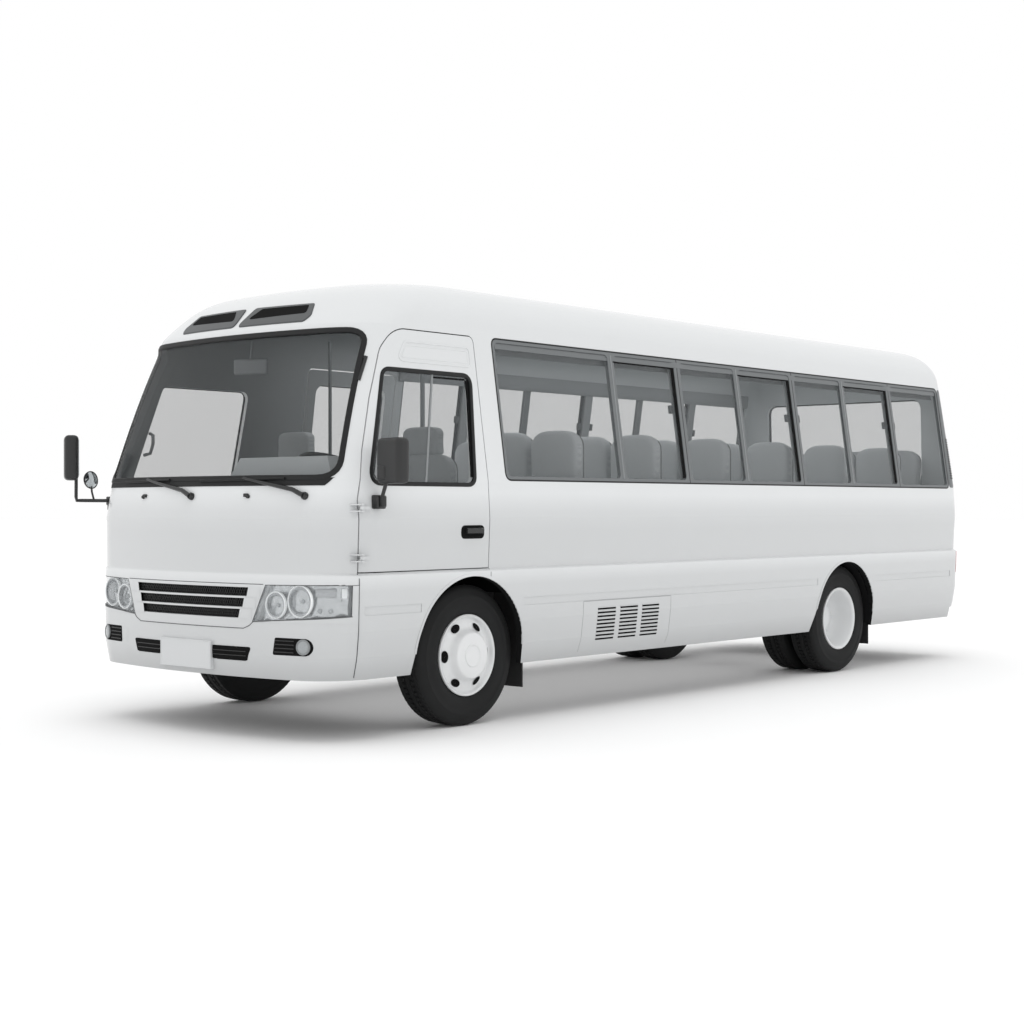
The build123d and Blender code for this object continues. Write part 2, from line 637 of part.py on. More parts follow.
# Driver's door with its mirror
door_low = lower_ring & driver_leaf & block(0, FAR, AHEAD_Y, FAR, UNDER_Z, BELT_Z)
door_high = window_ring & driver_leaf
fixed, moving = hinge(DRIVER_HINGE, 1)
nodes["driver_door"] = only((door_low + door_high) - driver_pane + moving)
nodes["front_shell"] = only(front_shell + fixed)
belt_glass = hull(LOWER[-2:], GLASS_INSET) - hull(LOWER[-2:], GLASS_INSET + GLASS_T)
nodes["driver_door_glass"] = only((glass_ring + belt_glass) & driver_pane)
head_x, head_y, head_z = LEFT_HEAD_AT
rod_x = HALF_WIDTH + 22.0
base = block(HALF_WIDTH - 53, rod_x, head_y, head_y + 70, MIRROR_BASE_Z0, MIRROR_BASE_Z0 + MIRROR_BASE_H)
stem = block(rod_x - MIRROR_ROD, rod_x, head_y, head_y + MIRROR_ROD, MIRROR_BASE_Z0, head_z)
head = Pos(head_x, head_y, head_z) * fillet(Box(*LEFT_HEAD).edges(), MIRROR_ROUND)
nodes["left_mirror"] = only((base - lower_out) + (stem - window_out - lower_out) + (head - window_out))

# Passenger door
leaf_low = lower_ring & entry_leaf & block(-FAR, 0, AHEAD_Y, FAR, UNDER_Z, BELT_Z)
leaf_high = window_ring & entry_leaf
fixed, moving = hinge(ENTRY_HINGE, -1)
nodes["passenger_door"] = only((leaf_low + leaf_high) - entry_pane + moving)
nodes["right_side"] = only(right_side + fixed)
low_glass = hull(LOWER[5:], GLASS_INSET) - hull(LOWER[5:], GLASS_INSET + GLASS_T)
nodes["passenger_door_glass"] = only((glass_ring + low_glass) & entry_pane)

# Right mirror on its forward arm
head_x, head_y, head_z = RIGHT_HEAD_AT
rod_x = -HALF_WIDTH - 72.0
base_y = FRONT_SEAM_Y - 35.0
base = block(-HALF_WIDTH + 53, -HALF_WIDTH - 22, base_y, base_y + 50, MIRROR_BASE_Z0, MIRROR_BASE_Z0 + MIRROR_BASE_H)
arm_z = MIRROR_BASE_Z0 + 15.0
arm = block(rod_x, -HALF_WIDTH - 2, head_y, base_y + 40, arm_z, arm_z + MIRROR_ROD)
stem = block(rod_x, rod_x + MIRROR_ROD, head_y - MIRROR_ROD / 2, head_y + MIRROR_ROD / 2, arm_z, head_z)
head = Pos(head_x, head_y, head_z) * fillet(Box(*RIGHT_HEAD).edges(), MIRROR_ROUND)
nodes["right_mirror"] = only((base - lower_out) + arm + stem + head)

# Floor plates, wheel boxes and the step well at the passenger door
cabin = lower_in & block(-FAR, FAR, FRONT_Y, REAR_Y, SILL_Z, BELT_Z)
clear = hull(LOWER, WALL + TRIM_GAP)
floor_top = FLOOR_Z + FLOOR_T
box_roof = BOX_TOP_Z - SHEET_T
well_y0, well_y1 = ENTRY_Y0 - SHEET_T, ENTRY_Y1 + SHEET_T
narrows = [(box.y0 - SHEET_T, box.y1 + SHEET_T, SHEET_T - box.x, box.x - SHEET_T) for box in WHEEL_BOXES]
narrows.append((well_y0, well_y1, STEP_X, FAR))
plates = []
y = FRONT_Y + 185
for y0, y1, x0, x1 in sorted(narrows):
    if y0 - JOIN > y:
        plates.append(cabin & block(-FAR, FAR, y, y0 - JOIN, FLOOR_Z, floor_top))
    plates.append(cabin & block(x0 + JOIN, x1 - JOIN, max(y0, y), y1, FLOOR_Z, floor_top))
    y = y1 + JOIN
plates.append(cabin & block(-FAR, FAR, y, REAR_Y, FLOOR_Z, floor_top))
for box in WHEEL_BOXES:
    y0, y1 = box.y0 - SHEET_T, box.y1 + SHEET_T
    for _, s in SIDES:
        edge = s * (box.x + JOIN)
        plates.append(block(s * (box.x - SHEET_T), s * box.x, y0, y1, FLOOR_Z, BOX_TOP_Z))
        plates.append(clear & block(edge, s * FAR, y0, y1, box_roof, BOX_TOP_Z))
        for wall_y in (y0, box.y1):
            plates.append(clear & block(edge, s * FAR, wall_y, wall_y + SHEET_T, FLOOR_Z, box_roof - JOIN))
riser_x = STEP_X - SHEET_T
plates.append(clear & block(-FAR, STEP_X, well_y0, well_y1, WELL_Z - 18, WELL_Z))
plates.append(block(riser_x, STEP_X, well_y0, well_y1, WELL_Z + JOIN, floor_top))
for wall_y in (well_y0, ENTRY_Y1):
    plates.append(clear & block(-FAR, riser_x - JOIN, wall_y, wall_y + SHEET_T, WELL_Z + JOIN, floor_top))
tread = block(STEP_EDGE_X, riser_x - JOIN, ENTRY_Y0 + JOIN, ENTRY_Y1 - JOIN, WELL_Z + JOIN, STEP_Z)
plates.append(clear & tread)
nodes["floor_pan"] = group(plates)

# Dashboard, steering wheel and seats
dash = clear & block(-FAR, FAR, DASH_Y0, DASH_Y1, DASH_Z0, DASH_Z1)
console = block(-CONSOLE_X, CONSOLE_X, DASH_Y1 - 220, DASH_Y1, floor_top, DASH_Z0 + 20)
nodes["dashboard"] = only(dash + console + front_prism(HOOD, HOOD_Y0, HOOD_Y1))
at_wheel = Pos(DRIVER_X, WHEEL_Y, WHEEL_Z)
ring = Torus(WHEEL_RING_R, WHEEL_GRIP_R)
spokes = Box(2 * WHEEL_RING_R - 10, 30, 14) + Pos(0, -WHEEL_RING_R * 0.46, 0) * Box(30, WHEEL_RING_R * 0.93, 14)
wheel = at_wheel * Rot(WHEEL_TILT, 0, 0) * (ring + spokes + Cylinder(48, 40))
column = at_wheel * Rot(COLUMN_TILT, 0, 0) * Pos(0, 0, -COLUMN_LENGTH / 2) * Cylinder(COLUMN_R, COLUMN_LENGTH)
column = column & block(0, FAR, FRONT_Y, FAR, floor_top, WHEEL_Z + 200)
nodes["steering_wheel"] = only(wheel + column)


def stand_z(x, y0, y1):
    """Height of what a seat's foot stands on: a wheel box or the floor."""
    for box in WHEEL_BOXES:
        over_y = y1 > box.y0 - SHEET_T and y0 < box.y1 + SHEET_T
        if over_y and abs(x) + FOOT_W / 2 > box.x - SHEET_T:
            return BOX_TOP_Z
    return floor_top


def seat(x, y, count, width, feet):
    """A row of seats side by side, cushion front at y: cushions, backs and feet."""
    parts = []
    under = CUSHION_Z - CUSHION_T
    for i in range(count):
        cx = x + (i - (count - 1) / 2) * (width + SEAT_GAP)
        half = width / 2
        parts.append(block(cx - half, cx + half, y, y + CUSHION_L, under, CUSHION_Z))
        y0 = y + CUSHION_L + JOIN
        back = block(cx - half, cx + half, y0, y0 + BACK_T, under, BACK_TOP_Z)
        parts.append(fillet(back.edges().filter_by(Axis.Y).group_by(Axis.Z)[-1], BACK_ROUND))
    half = FOOT_W / 2
    y0, y1 = y + 80, y + CUSHION_L - 20
    for foot in feet:
        parts.append(block(foot - half, foot + half, y0, y1, stand_z(foot, y0, y1), under - JOIN))
    return group(parts)


nodes["driver_seat"] = seat(DRIVER_X, DRIVER_SEAT_Y, 1, DRIVER_W, [DRIVER_X])
benches = [seat(PAIR_X, y, 2, SEAT_W, [PAIR_X]) for y in LEFT_ROWS]
benches += [seat(-PAIR_X, y, 2, SEAT_W, [-PAIR_X]) for y in RIGHT_ROWS]
pitch = SEAT_W + SEAT_GAP
benches.append(seat(0, REAR_BENCH_Y, 4, SEAT_W, [-pitch, pitch]))
benches.append(seat(GUIDE_X, GUIDE_SEAT_Y, 1, DRIVER_W, [GUIDE_X]))
nodes["passenger_seats"] = group(benches)

# Chassis
half = RAIL_W / 2
RAIL_Y0 = FRONT_Y + 135.0
RAIL_Y1 = REAR_Y - 105.0
rails = [block(s * RAIL_X - half, s * RAIL_X + half, RAIL_Y0, RAIL_Y1, RAIL_Z0, FLOOR_Z) for _, s in SIDES]
reach = RAIL_X - half - JOIN
members = (RAIL_Y0 + 70, FRONT_AXLE_Y + 935, -200.0, REAR_AXLE_Y - 750, REAR_AXLE_Y + 650, RAIL_Y1 - 60)
cross = [block(-reach, reach, y - 40, y + 40, RAIL_Z0 + 40, FLOOR_Z - 40) for y in members]
lugs = []
for _, s in SIDES:
    x = s * RAIL_X
    top = RAIL_Z0 - JOIN
    lug = block(x - half, x + half, RAIL_Y0 - 45, RAIL_Y0 + 60, top - TOW_LUG_T, top)
    lugs.append(lug - rod(x, RAIL_Y0 - 18, top, "Z", 100, TOW_EYE_R))
hangers = []
springs = []
half = SPRING_W / 2
for axle, reach in ((FRONT_AXLE_Y, 620.0), (REAR_AXLE_Y, 720.0)):
    for _, s in SIDES:
        x = s * SPRING_X
        springs.append(block(x - half, x + half, axle - reach, axle + reach, SPRING_Z0, SPRING_Z1))
        for e in (1, -1):
            y = axle + e * (reach - 30)
            inner_x = s * (RAIL_X + RAIL_W / 2 + JOIN)
            hangers.append(block(inner_x, x + s * (half + 4), y - 40, y + 40, SPRING_Z1, FLOOR_Z - 80))
nodes["chassis_frame"] = group(rails + cross + lugs + hangers)
nodes["leaf_springs"] = group(springs)
GEARBOX_Y0 = FRONT_AXLE_Y + 235.0
GEARBOX_Y1 = GEARBOX_Y0 + 505.0
nodes["engine_block"] = block(-280, 280, GEARBOX_Y0 - 900, GEARBOX_Y0, FLOOR_Z - 260, FLOOR_Z)
gearbox = block(-170, 170, GEARBOX_Y0, GEARBOX_Y1, SHAFT_Z - 50, FLOOR_Z - 40)
shaft_end = REAR_AXLE_Y - 240.0
shaft_start = GEARBOX_Y1 + JOIN
shaft = rod(0, (shaft_end + shaft_start) / 2, SHAFT_Z, "Y", shaft_end - shaft_start, 40)
nodes["driveline"] = group([gearbox, shaft])
beam_z0 = HUB_Z - 44.0
beam_z1 = HUB_Z + 44.0
beam = block(-KINGPIN_X + 25, KINGPIN_X - 25, FRONT_AXLE_Y - 35, FRONT_AXLE_Y + 35, beam_z0, beam_z1)
axle_parts = [beam]
for _, s in SIDES:
    x = s * SPRING_X
    axle_parts.append(block(x - 40, x + 40, FRONT_AXLE_Y - 50, FRONT_AXLE_Y + 50, beam_z0, SPRING_Z0))
    axle_parts.append(rod(s * KINGPIN_X, FRONT_AXLE_Y, HUB_Z, "Z", BOSS_H, BOSS_R))
    axle_parts.append(rod(s * KINGPIN_X, FRONT_AXLE_Y, HUB_Z, "Z", 2 * EYE_Z + EYE_H - 4, KINGPIN_R))
nodes["front_axle"] = only(union(axle_parts))
inner_end = REAR_OUTER_X - TWIN_PITCH + 72.0
axle_parts = [rod(0, REAR_AXLE_Y, HUB_Z, "X", 2 * inner_end, AXLE_R), rod(0, REAR_AXLE_Y, HUB_Z, "X", 220, 150)]
axle_parts.append(rod(0, REAR_AXLE_Y - 150, SHAFT_Z, "Y", 180, 60))
for _, s in SIDES:
    x = s * SPRING_X
    axle_parts.append(block(x - 40, x + 40, REAR_AXLE_Y - 45, REAR_AXLE_Y + 45, HUB_Z, SPRING_Z0))
nodes["rear_axle"] = only(union(axle_parts))
tank = block(RAIL_X + RAIL_W / 2, HALF_WIDTH - 188, -60, 800, RAIL_Z0 - 120, FLOOR_Z - 50)
nodes["fuel_tank"] = fillet(tank.edges().filter_by(Axis.Y), 40)
PIPE_X = RAIL_X - 90.0
PIPE_Z = RAIL_Z0 - 40.0
pipe_y0 = GEARBOX_Y1 - 230.0
pipe_y1 = REAR_Y - 160.0
pipe = rod(-PIPE_X, (pipe_y0 + pipe_y1) / 2, PIPE_Z, "Y", pipe_y1 - pipe_y0, 30)
silencer = rod(-PIPE_X, 300, PIPE_Z, "Y", 700, 85)
rail_face = RAIL_X - RAIL_W / 2
clips = [block(-rail_face, -PIPE_X, y - 15, y + 15, PIPE_Z, PIPE_Z + 100) for y in (pipe_y0 + 275, 1000, pipe_y1 - 275)]
nodes["exhaust"] = only(union([pipe, silencer] + clips) - union(rails))

# Mud flaps and number plates
flaps = []
for arch, behind in zip(ARCHES, (67.0, 32.0)):
    y = arch.y + arch.radius + behind
    for _, s in SIDES:
        flaps.append(block(s * (HALF_WIDTH - 293), s * (HALF_WIDTH - 83), y, y + 8, 175, FLOOR_Z))
nodes["mud_flaps"] = group(flaps)
plate = block(-PLATE_HALF, PLATE_HALF, FRONT_Y - PLATE_T, FRONT_Y + 60, SILL_Z + 29, SILL_Z + 177) - lower_out
rear_plate = block(-PLATE_HALF, PLATE_HALF, REAR_Y - 60, REAR_Y + PLATE_T, SILL_Z + 114, SILL_Z + 244) - lower_out
nodes["number_plates"] = group([plate, rear_plate])

# Wipers
belt_pair = LOWER[-2:]
wipe = hull(WINDOW, -WIPER_PROUD, False) - hull(WINDOW, -WIPER_CLEAR, False)
wipe = wipe + (hull(belt_pair, -WIPER_PROUD) - hull(belt_pair, -WIPER_CLEAR))
pivot_ring = hull(belt_pair, -WIPER_PROUD) - lower_out
blade_z = SCREEN_Z0 + 14.0
wipers = []
for px in WIPER_PIVOTS:
    arm = [(px - 14, WIPER_Z), (px + 14, WIPER_Z), (px - 190, blade_z + BLADE_H), (px - 210, blade_z + 4)]
    b0, b1 = px + BLADE_RUN[0], px + BLADE_RUN[1]
    blade = [
        (b0, blade_z), (b1, blade_z + BLADE_RISE),
        (b1, blade_z + BLADE_RISE + BLADE_H), (b0, blade_z + BLADE_H),
    ]
    swept = front_prism(arm, FRONT_Y - 60, FRONT_SEAM_Y + 155) + front_prism(blade, FRONT_Y - 60, FRONT_SEAM_Y + 155)
    wipers.append(wipe & swept)
    wipers.append(pivot_ring & rod(px, FRONT_Y + 135, WIPER_Z, "Y", 400, PIVOT_R))
nodes["wipers"] = only(union(wipers))

# Steering knuckles
for side, s in SIDES:
    x = s * KINGPIN_X
    y0, y1 = FRONT_AXLE_Y - EYE_R, FRONT_AXLE_Y + EYE_R
    parts = [block(s * (KINGPIN_X + 45), s * (KINGPIN_X + 65), y0, y1, HUB_Z - EYE_Z - EYE_H / 2, HUB_Z + EYE_Z + EYE_H / 2)]
    for e in (1, -1):
        z = HUB_Z + e * EYE_Z
        parts.append(rod(x, FRONT_AXLE_Y, z, "Z", EYE_H, EYE_R))
        parts.append(block(x, s * (KINGPIN_X + 50), y0, y1, z - EYE_H / 2, z + EYE_H / 2))
    stub_x0 = KINGPIN_X + 50.0
    stub_x1 = FRONT_WHEEL_X + FRONT_DISH + 8.0
    parts.append(rod(s * (stub_x0 + stub_x1) / 2, FRONT_AXLE_Y, HUB_Z, "X", stub_x1 - stub_x0, STUB_R))
    eye = rod(x, FRONT_AXLE_Y, HUB_Z, "Z", 4 * EYE_Z, KINGPIN_R + RUN)
    nodes[side + "_knuckle"] = only(union(parts) - eye)

# Wheels
tyre_half = TYRE_W / 2
tyre_profile = [
    (RIM_R, -tyre_half + 12), (RIM_R + 60, -tyre_half), (TYRE_R - 45, -tyre_half + 3),
    (TYRE_R, -tyre_half + 30), (TYRE_R, tyre_half - 30), (TYRE_R - 45, tyre_half - 3),
    (RIM_R + 60, tyre_half), (RIM_R, tyre_half - 12),
]
tyre = Rot(0, 90, 0) * revolve(Plane.XZ * Polygon(*tyre_profile, align=None), Axis.Z)


def rim(dish, out, bore):
    """Rim barrel with a disc and its raised middle, turned about X to face out."""
    w = tyre_half - RIM_T
    profile = [(RIM_R - RIM_T, -w), (RIM_R, -w), (RIM_R, w), (RIM_R - RIM_T, w)]
    barrel = revolve(Plane.XZ * Polygon(*profile, align=None), Axis.Z)
    disc = Pos(0, 0, dish) * Cylinder(RIM_R - RIM_T + 0.1, RIM_T)
    hub = Pos(0, 0, dish - out * 15) * Cylinder(70, 60)
    boss = Pos(0, 0, dish + out * 20) * (Rot(0, 0, 0) if out > 0 else Rot(180, 0, 0)) * Cone(135, 110, 40)
    hole = Pos(0, 0, dish - out * 80) * Cylinder(bore + RUN, 190)
    return Rot(0, 90, 0) * (barrel + disc + hub + boss - hole)


for side, s in SIDES:
    at = Pos(s * FRONT_WHEEL_X, FRONT_AXLE_Y, HUB_Z)
    nodes["front_" + side + "_tyre"] = at * tyre
    nodes["front_" + side + "_wheel"] = at * rim(s * FRONT_DISH, s, STUB_R)
    outer = Pos(s * REAR_OUTER_X, REAR_AXLE_Y, HUB_Z)
    inner = Pos(s * (REAR_OUTER_X - TWIN_PITCH), REAR_AXLE_Y, HUB_Z)
    nodes["rear_" + side + "_tyres"] = group([outer * tyre, inner * tyre])
    pair = (outer * rim(-s * REAR_DISH, s, AXLE_R)) + (inner * rim(s * REAR_DISH, -s, AXLE_R))
    middle = s * (REAR_OUTER_X - TWIN_PITCH / 2)
    link = rod(middle, REAR_AXLE_Y, HUB_Z, "X", TWIN_PITCH - 2 * REAR_DISH + 54, 110)
    bore = rod(middle - s * 100, REAR_AXLE_Y, HUB_Z, "X", 320, AXLE_R + RUN)
    nodes["rear_" + side + "_wheels"] = only(pair + link - bore)

os.makedirs("parts", exist_ok=True)
for name, shape in nodes.items():
    solids = shape.solids()
    print(name, len(solids), round(sum(v.volume for v in solids) / 1e6, 2), shape.is_valid)
    export_step(shape, "parts/" + name + ".step")
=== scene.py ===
"""Tour bus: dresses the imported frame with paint, glass, trim, lamps, cabin and wheels.

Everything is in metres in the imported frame: front towards -Y, driver's side towards +X, +Z up.
"""
import logging
import math
from collections.abc import Callable, Sequence
from dataclasses import dataclass, field
from enum import Enum

import bmesh
import bpy
from mathutils import Matrix, Vector
from mathutils.bvhtree import BVHTree


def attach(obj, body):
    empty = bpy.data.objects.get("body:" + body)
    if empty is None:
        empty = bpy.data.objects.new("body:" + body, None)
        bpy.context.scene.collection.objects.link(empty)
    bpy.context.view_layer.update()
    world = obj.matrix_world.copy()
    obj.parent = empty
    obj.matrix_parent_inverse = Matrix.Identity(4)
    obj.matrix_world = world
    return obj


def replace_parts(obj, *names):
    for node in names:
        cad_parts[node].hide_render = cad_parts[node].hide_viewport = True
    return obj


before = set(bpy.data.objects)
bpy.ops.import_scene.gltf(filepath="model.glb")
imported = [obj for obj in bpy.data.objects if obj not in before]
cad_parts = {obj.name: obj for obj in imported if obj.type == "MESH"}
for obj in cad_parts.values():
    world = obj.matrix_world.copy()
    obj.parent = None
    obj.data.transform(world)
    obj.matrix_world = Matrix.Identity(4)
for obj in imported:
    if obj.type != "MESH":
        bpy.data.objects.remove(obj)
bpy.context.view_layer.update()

LOG = logging.getLogger("tour_bus")

Flat = tuple[float, float]
Colour = tuple[float, float, float]
Point = tuple[float, float, float]
Span = tuple[float, float, float, float]
Spot = tuple[Vector, Vector]
View = Callable[[Vector], Spot]
ROOT = "bus_body"
UP = Vector((0.0, 0.0, 1.0))
CORNER_STEPS = 6
FRONT_HUB = (0.852, -2.285, 0.384)
REAR_HUB = (0.864, 1.650, 0.384)


class Texture(Enum):
    """How a finish is broken up by its nodes."""

    PAINT = "paint"
    MOULDED = "moulded"
    CLOTH = "cloth"
    BRUSHED = "brushed"
    CLEAR = "clear"


class Side(Enum):
    """A side of the bus and its sign along X."""

    LEFT = 1
    RIGHT = -1


@dataclass(frozen=True)
class Finish:
    """One surface finish, made into a node material when it is first used."""

    name: str
    slot: str
    colour: Colour
    roughness: float = 0.5
    texture: Texture = Texture.MOULDED
    metallic: float = 0.0
    coat: float = 0.0
    alpha: float = 1.0
    grain: float = 350.0
    bump: float = 0.15
    spread: float = 0.08
    specular: float = 0.5
    shade: tuple[Flat, ...] = ()
    shade_axis: str = "Z"

    def material(self) -> bpy.types.Material:
        """Give the node material of this finish.

        Returns:
            The material, made once and shared.
        """
        found = bpy.data.materials.get(self.name)
        if found:
            return found
        made = bpy.data.materials.new(self.name)
        made.use_nodes = True
        shader = made.node_tree.nodes["Principled BSDF"]
        shader.inputs["Base Color"].default_value = (*self.colour, 1.0)
        shader.inputs["Roughness"].default_value = self.roughness
        shader.inputs["Metallic"].default_value = self.metallic
        shader.inputs["Specular IOR Level"].default_value = self.specular
        shader.inputs["Coat Weight"].default_value = self.coat
        shader.inputs["Coat Roughness"].default_value = 0.06
        shader.inputs["Alpha"].default_value = self.alpha
        self._break_up(made.node_tree, shader)
        made.diffuse_color = (*self.colour, self.alpha)
        return made

    def _break_up(self, tree: bpy.types.NodeTree, shader: bpy.types.Node) -> None:
        """Add colour variation, uneven gloss and surface relief.

        Args:
            tree: The material's nodes.
            shader: Its shader.
        """
        coords = tree.nodes.new("ShaderNodeTexCoord")
        broad = self._noise(tree, coords, 3.0, 3.0)
        dull = self.roughness
        self._vary(tree, broad, shader.inputs["Roughness"], dull * 0.85, dull * 1.15)
        if self.texture is Texture.CLEAR:
            return
        fine = self._noise(tree, coords, self.grain, 2.0)
        if self.texture is Texture.BRUSHED:
            stretch = tree.nodes.new("ShaderNodeMapping")
            stretch.inputs["Scale"].default_value = (1.0, 0.04, 1.0)
            tree.links.new(coords.outputs["Object"], stretch.inputs["Vector"])
            tree.links.new(stretch.outputs["Vector"], fine.inputs["Vector"])
        if self.texture is Texture.CLOTH:
            fine = self._weave(tree, coords)
        mix = tree.nodes.new("ShaderNodeMix")
        mix.data_type = "RGBA"
        mix.inputs["A"].default_value = (*[c * (1 - self.spread) for c in self.colour], 1.0)
        mix.inputs["B"].default_value = (*[min(c * (1 + self.spread), 1.0) for c in self.colour], 1.0)
        tint = broad if self.texture is Texture.PAINT else fine
        tree.links.new(tint.outputs[0], mix.inputs["Factor"])
        tree.links.new(self._shaded(tree, coords, mix.outputs["Result"]), shader.inputs["Base Color"])
        relief = tree.nodes.new("ShaderNodeBump")
        relief.inputs["Strength"].default_value = self.bump
        relief.inputs["Distance"].default_value = 0.0006
        tree.links.new(fine.outputs[0], relief.inputs["Height"])
        tree.links.new(relief.outputs["Normal"], shader.inputs["Normal"])

    def _shaded(self, tree: bpy.types.NodeTree, coords: bpy.types.Node,
                colour: bpy.types.NodeSocket) -> bpy.types.NodeSocket:
        """Multiply the finish by a ramp along one axis: painted shade, with a painted highlight where a stop
        is lighter than its neighbours.

        Args:
            tree: The material's nodes.
            coords: The coordinate node.
            colour: The clean colour.

        Returns:
            The colour to use.
        """
        if not self.shade:
            return colour
        split = tree.nodes.new("ShaderNodeSeparateXYZ")
        ramp = tree.nodes.new("ShaderNodeValToRGB")
        painted_shade_mix = tree.nodes.new("ShaderNodeMix")
        painted_shade_mix.data_type = "RGBA"
        painted_shade_mix.blend_type = "MULTIPLY"
        painted_shade_mix.inputs["Factor"].default_value = 1.0
        low, high = self.shade[0][0], self.shade[-1][0]
        for i, (where, value) in enumerate(self.shade):
            place = (where - low) / (high - low)
            stop = ramp.color_ramp.elements[i] if i < 2 else ramp.color_ramp.elements.new(place)
            stop.position = place
            stop.color = (value, value, value, 1.0)
        span = tree.nodes.new("ShaderNodeMapRange")
        span.inputs["From Min"].default_value = low
        span.inputs["From Max"].default_value = high
        tree.links.new(coords.outputs["Object"], split.inputs["Vector"])
        tree.links.new(split.outputs[self.shade_axis], span.inputs["Value"])
        tree.links.new(span.outputs["Result"], ramp.inputs["Fac"])
        tree.links.new(colour, painted_shade_mix.inputs["A"])
        tree.links.new(ramp.outputs["Color"], painted_shade_mix.inputs["B"])
        return painted_shade_mix.outputs["Result"]

    def _noise(self, tree: bpy.types.NodeTree, coords: bpy.types.Node, scale: float,
               detail: float) -> bpy.types.Node:
        """Add a noise pattern in the piece's own coordinates.

        Args:
            tree: The material's nodes.
            coords: The coordinate node.
            scale: Features per metre.
            detail: Octaves of noise.

        Returns:
            The noise node.
        """
        noise = tree.nodes.new("ShaderNodeTexNoise")
        noise.inputs["Scale"].default_value = scale
        noise.inputs["Detail"].default_value = detail
        tree.links.new(coords.outputs["Object"], noise.inputs["Vector"])
        return noise

    def _weave(self, tree: bpy.types.NodeTree, coords: bpy.types.Node) -> bpy.types.Node:
        """Add crossed threads for cloth.

        Args:
            tree: The material's nodes.
            coords: The coordinate node.

        Returns:
            The node whose first output is the weave's height.
        """
        threads = []
        for direction in ("X", "Z"):
            wave = tree.nodes.new("ShaderNodeTexWave")
            wave.bands_direction = direction
            wave.inputs["Scale"].default_value = self.grain
            wave.inputs["Distortion"].default_value = 0.6
            tree.links.new(coords.outputs["Object"], wave.inputs["Vector"])
            threads.append(wave)
        both = tree.nodes.new("ShaderNodeMath")
        both.operation = "MULTIPLY"
        tree.links.new(threads[0].outputs["Fac"], both.inputs[0])
        tree.links.new(threads[1].outputs["Fac"], both.inputs[1])
        return both

    def _vary(self, tree: bpy.types.NodeTree, source: bpy.types.Node, socket: bpy.types.NodeSocket,
              low: float, high: float) -> None:
        """Drive a socket between two values by a pattern.

        Args:
            tree: The material's nodes.
            source: The pattern.
            socket: The shader's socket.
            low: Value where the pattern is dark.
            high: Value where the pattern is light.
        """
        spread = tree.nodes.new("ShaderNodeMapRange")
        spread.inputs["To Min"].default_value = low
        spread.inputs["To Max"].default_value = high
        tree.links.new(source.outputs[0], spread.inputs["Value"])
        tree.links.new(spread.outputs["Result"], socket)


# Painted shade and highlight on the body paint, by height: darker towards the sill and below the crease at
# about 1.2 m, as light from above leaves it. A painted highlight band sits on the ledge's top at about 0.84
# m, and the roof is slightly darker again.
PAINTED_SHADE_AND_HIGHLIGHT = ((0.32, 0.60), (0.42, 0.73), (0.60, 0.79), (0.76, 0.82), (0.838, 0.97), (0.85, 0.80),
             (1.05, 0.80), (1.16, 0.86), (1.26, 1.0), (2.0, 0.95), (2.4, 0.94))
PAINT = Finish("white_body_paint", "body_paint", (0.715, 0.73, 0.738), 0.3, Texture.PAINT, coat=0.5,
               grain=700.0, bump=0.03, spread=0.012, shade=PAINTED_SHADE_AND_HIGHLIGHT)
LINING = Finish("grey_cabin_lining", "floor_grey", (0.50, 0.525, 0.535), 0.7, grain=500.0, spread=0.05)
# Painted shade: the headliner darkens towards the front of the cabin along Y, where less light reaches it.
HEADLINER = Finish("grey_headliner", "floor_grey", (0.52, 0.545, 0.555), 0.75, grain=500.0, spread=0.05,
                   shade_axis="Y", shade=((-3.2, 0.26), (-2.2, 0.36), (-0.9, 0.86), (0.3, 1.0), (3.4, 1.0)))
COVE = Finish("grey_window_cove", "floor_grey", (0.25, 0.263, 0.27), 0.7, grain=500.0, spread=0.05)
UNDERSEAL = Finish("black_underseal", "chassis_black", (0.008, 0.008, 0.0085), 0.85, grain=260.0, bump=0.4,
                   specular=0.15)
GLASS = Finish("tinted_window_glass", "window_glass", (0.15, 0.165, 0.17), 0.04, Texture.CLEAR, alpha=0.19)
SCREEN_GLASS = Finish("windscreen_glass", "window_glass", (0.06, 0.068, 0.07), 0.04, Texture.CLEAR,
                      alpha=0.14)
FRAME_GREY = Finish("grey_window_frame", "window_frame", (0.145, 0.155, 0.16), 0.4, grain=600.0, spread=0.05)
RAIL_GREY = Finish("pale_window_rail", "window_frame", (0.23, 0.243, 0.248), 0.4, grain=600.0, spread=0.05)
RUBBER = Finish("black_window_rubber", "flap_rubber", (0.011, 0.0115, 0.012), 0.55, grain=500.0, specular=0.3)
SOFT_SEAM = Finish("soft_panel_shadow", "body_paint", (0.36, 0.37, 0.375), 0.6, grain=500.0)
SEAM = Finish("dark_panel_gap", "black_plastic", (0.10, 0.105, 0.108), 0.7, grain=500.0)
BLACK = Finish("black_moulding", "black_plastic", (0.016, 0.0165, 0.017), 0.42, grain=900.0, bump=0.25)
SATIN_BLACK = Finish("satin_black_arm", "black_plastic", (0.014, 0.0145, 0.015), 0.3, grain=700.0, bump=0.1)
VENT_GREY = Finish("grey_vent_cover", "black_plastic", (0.065, 0.070, 0.073), 0.45, grain=700.0)
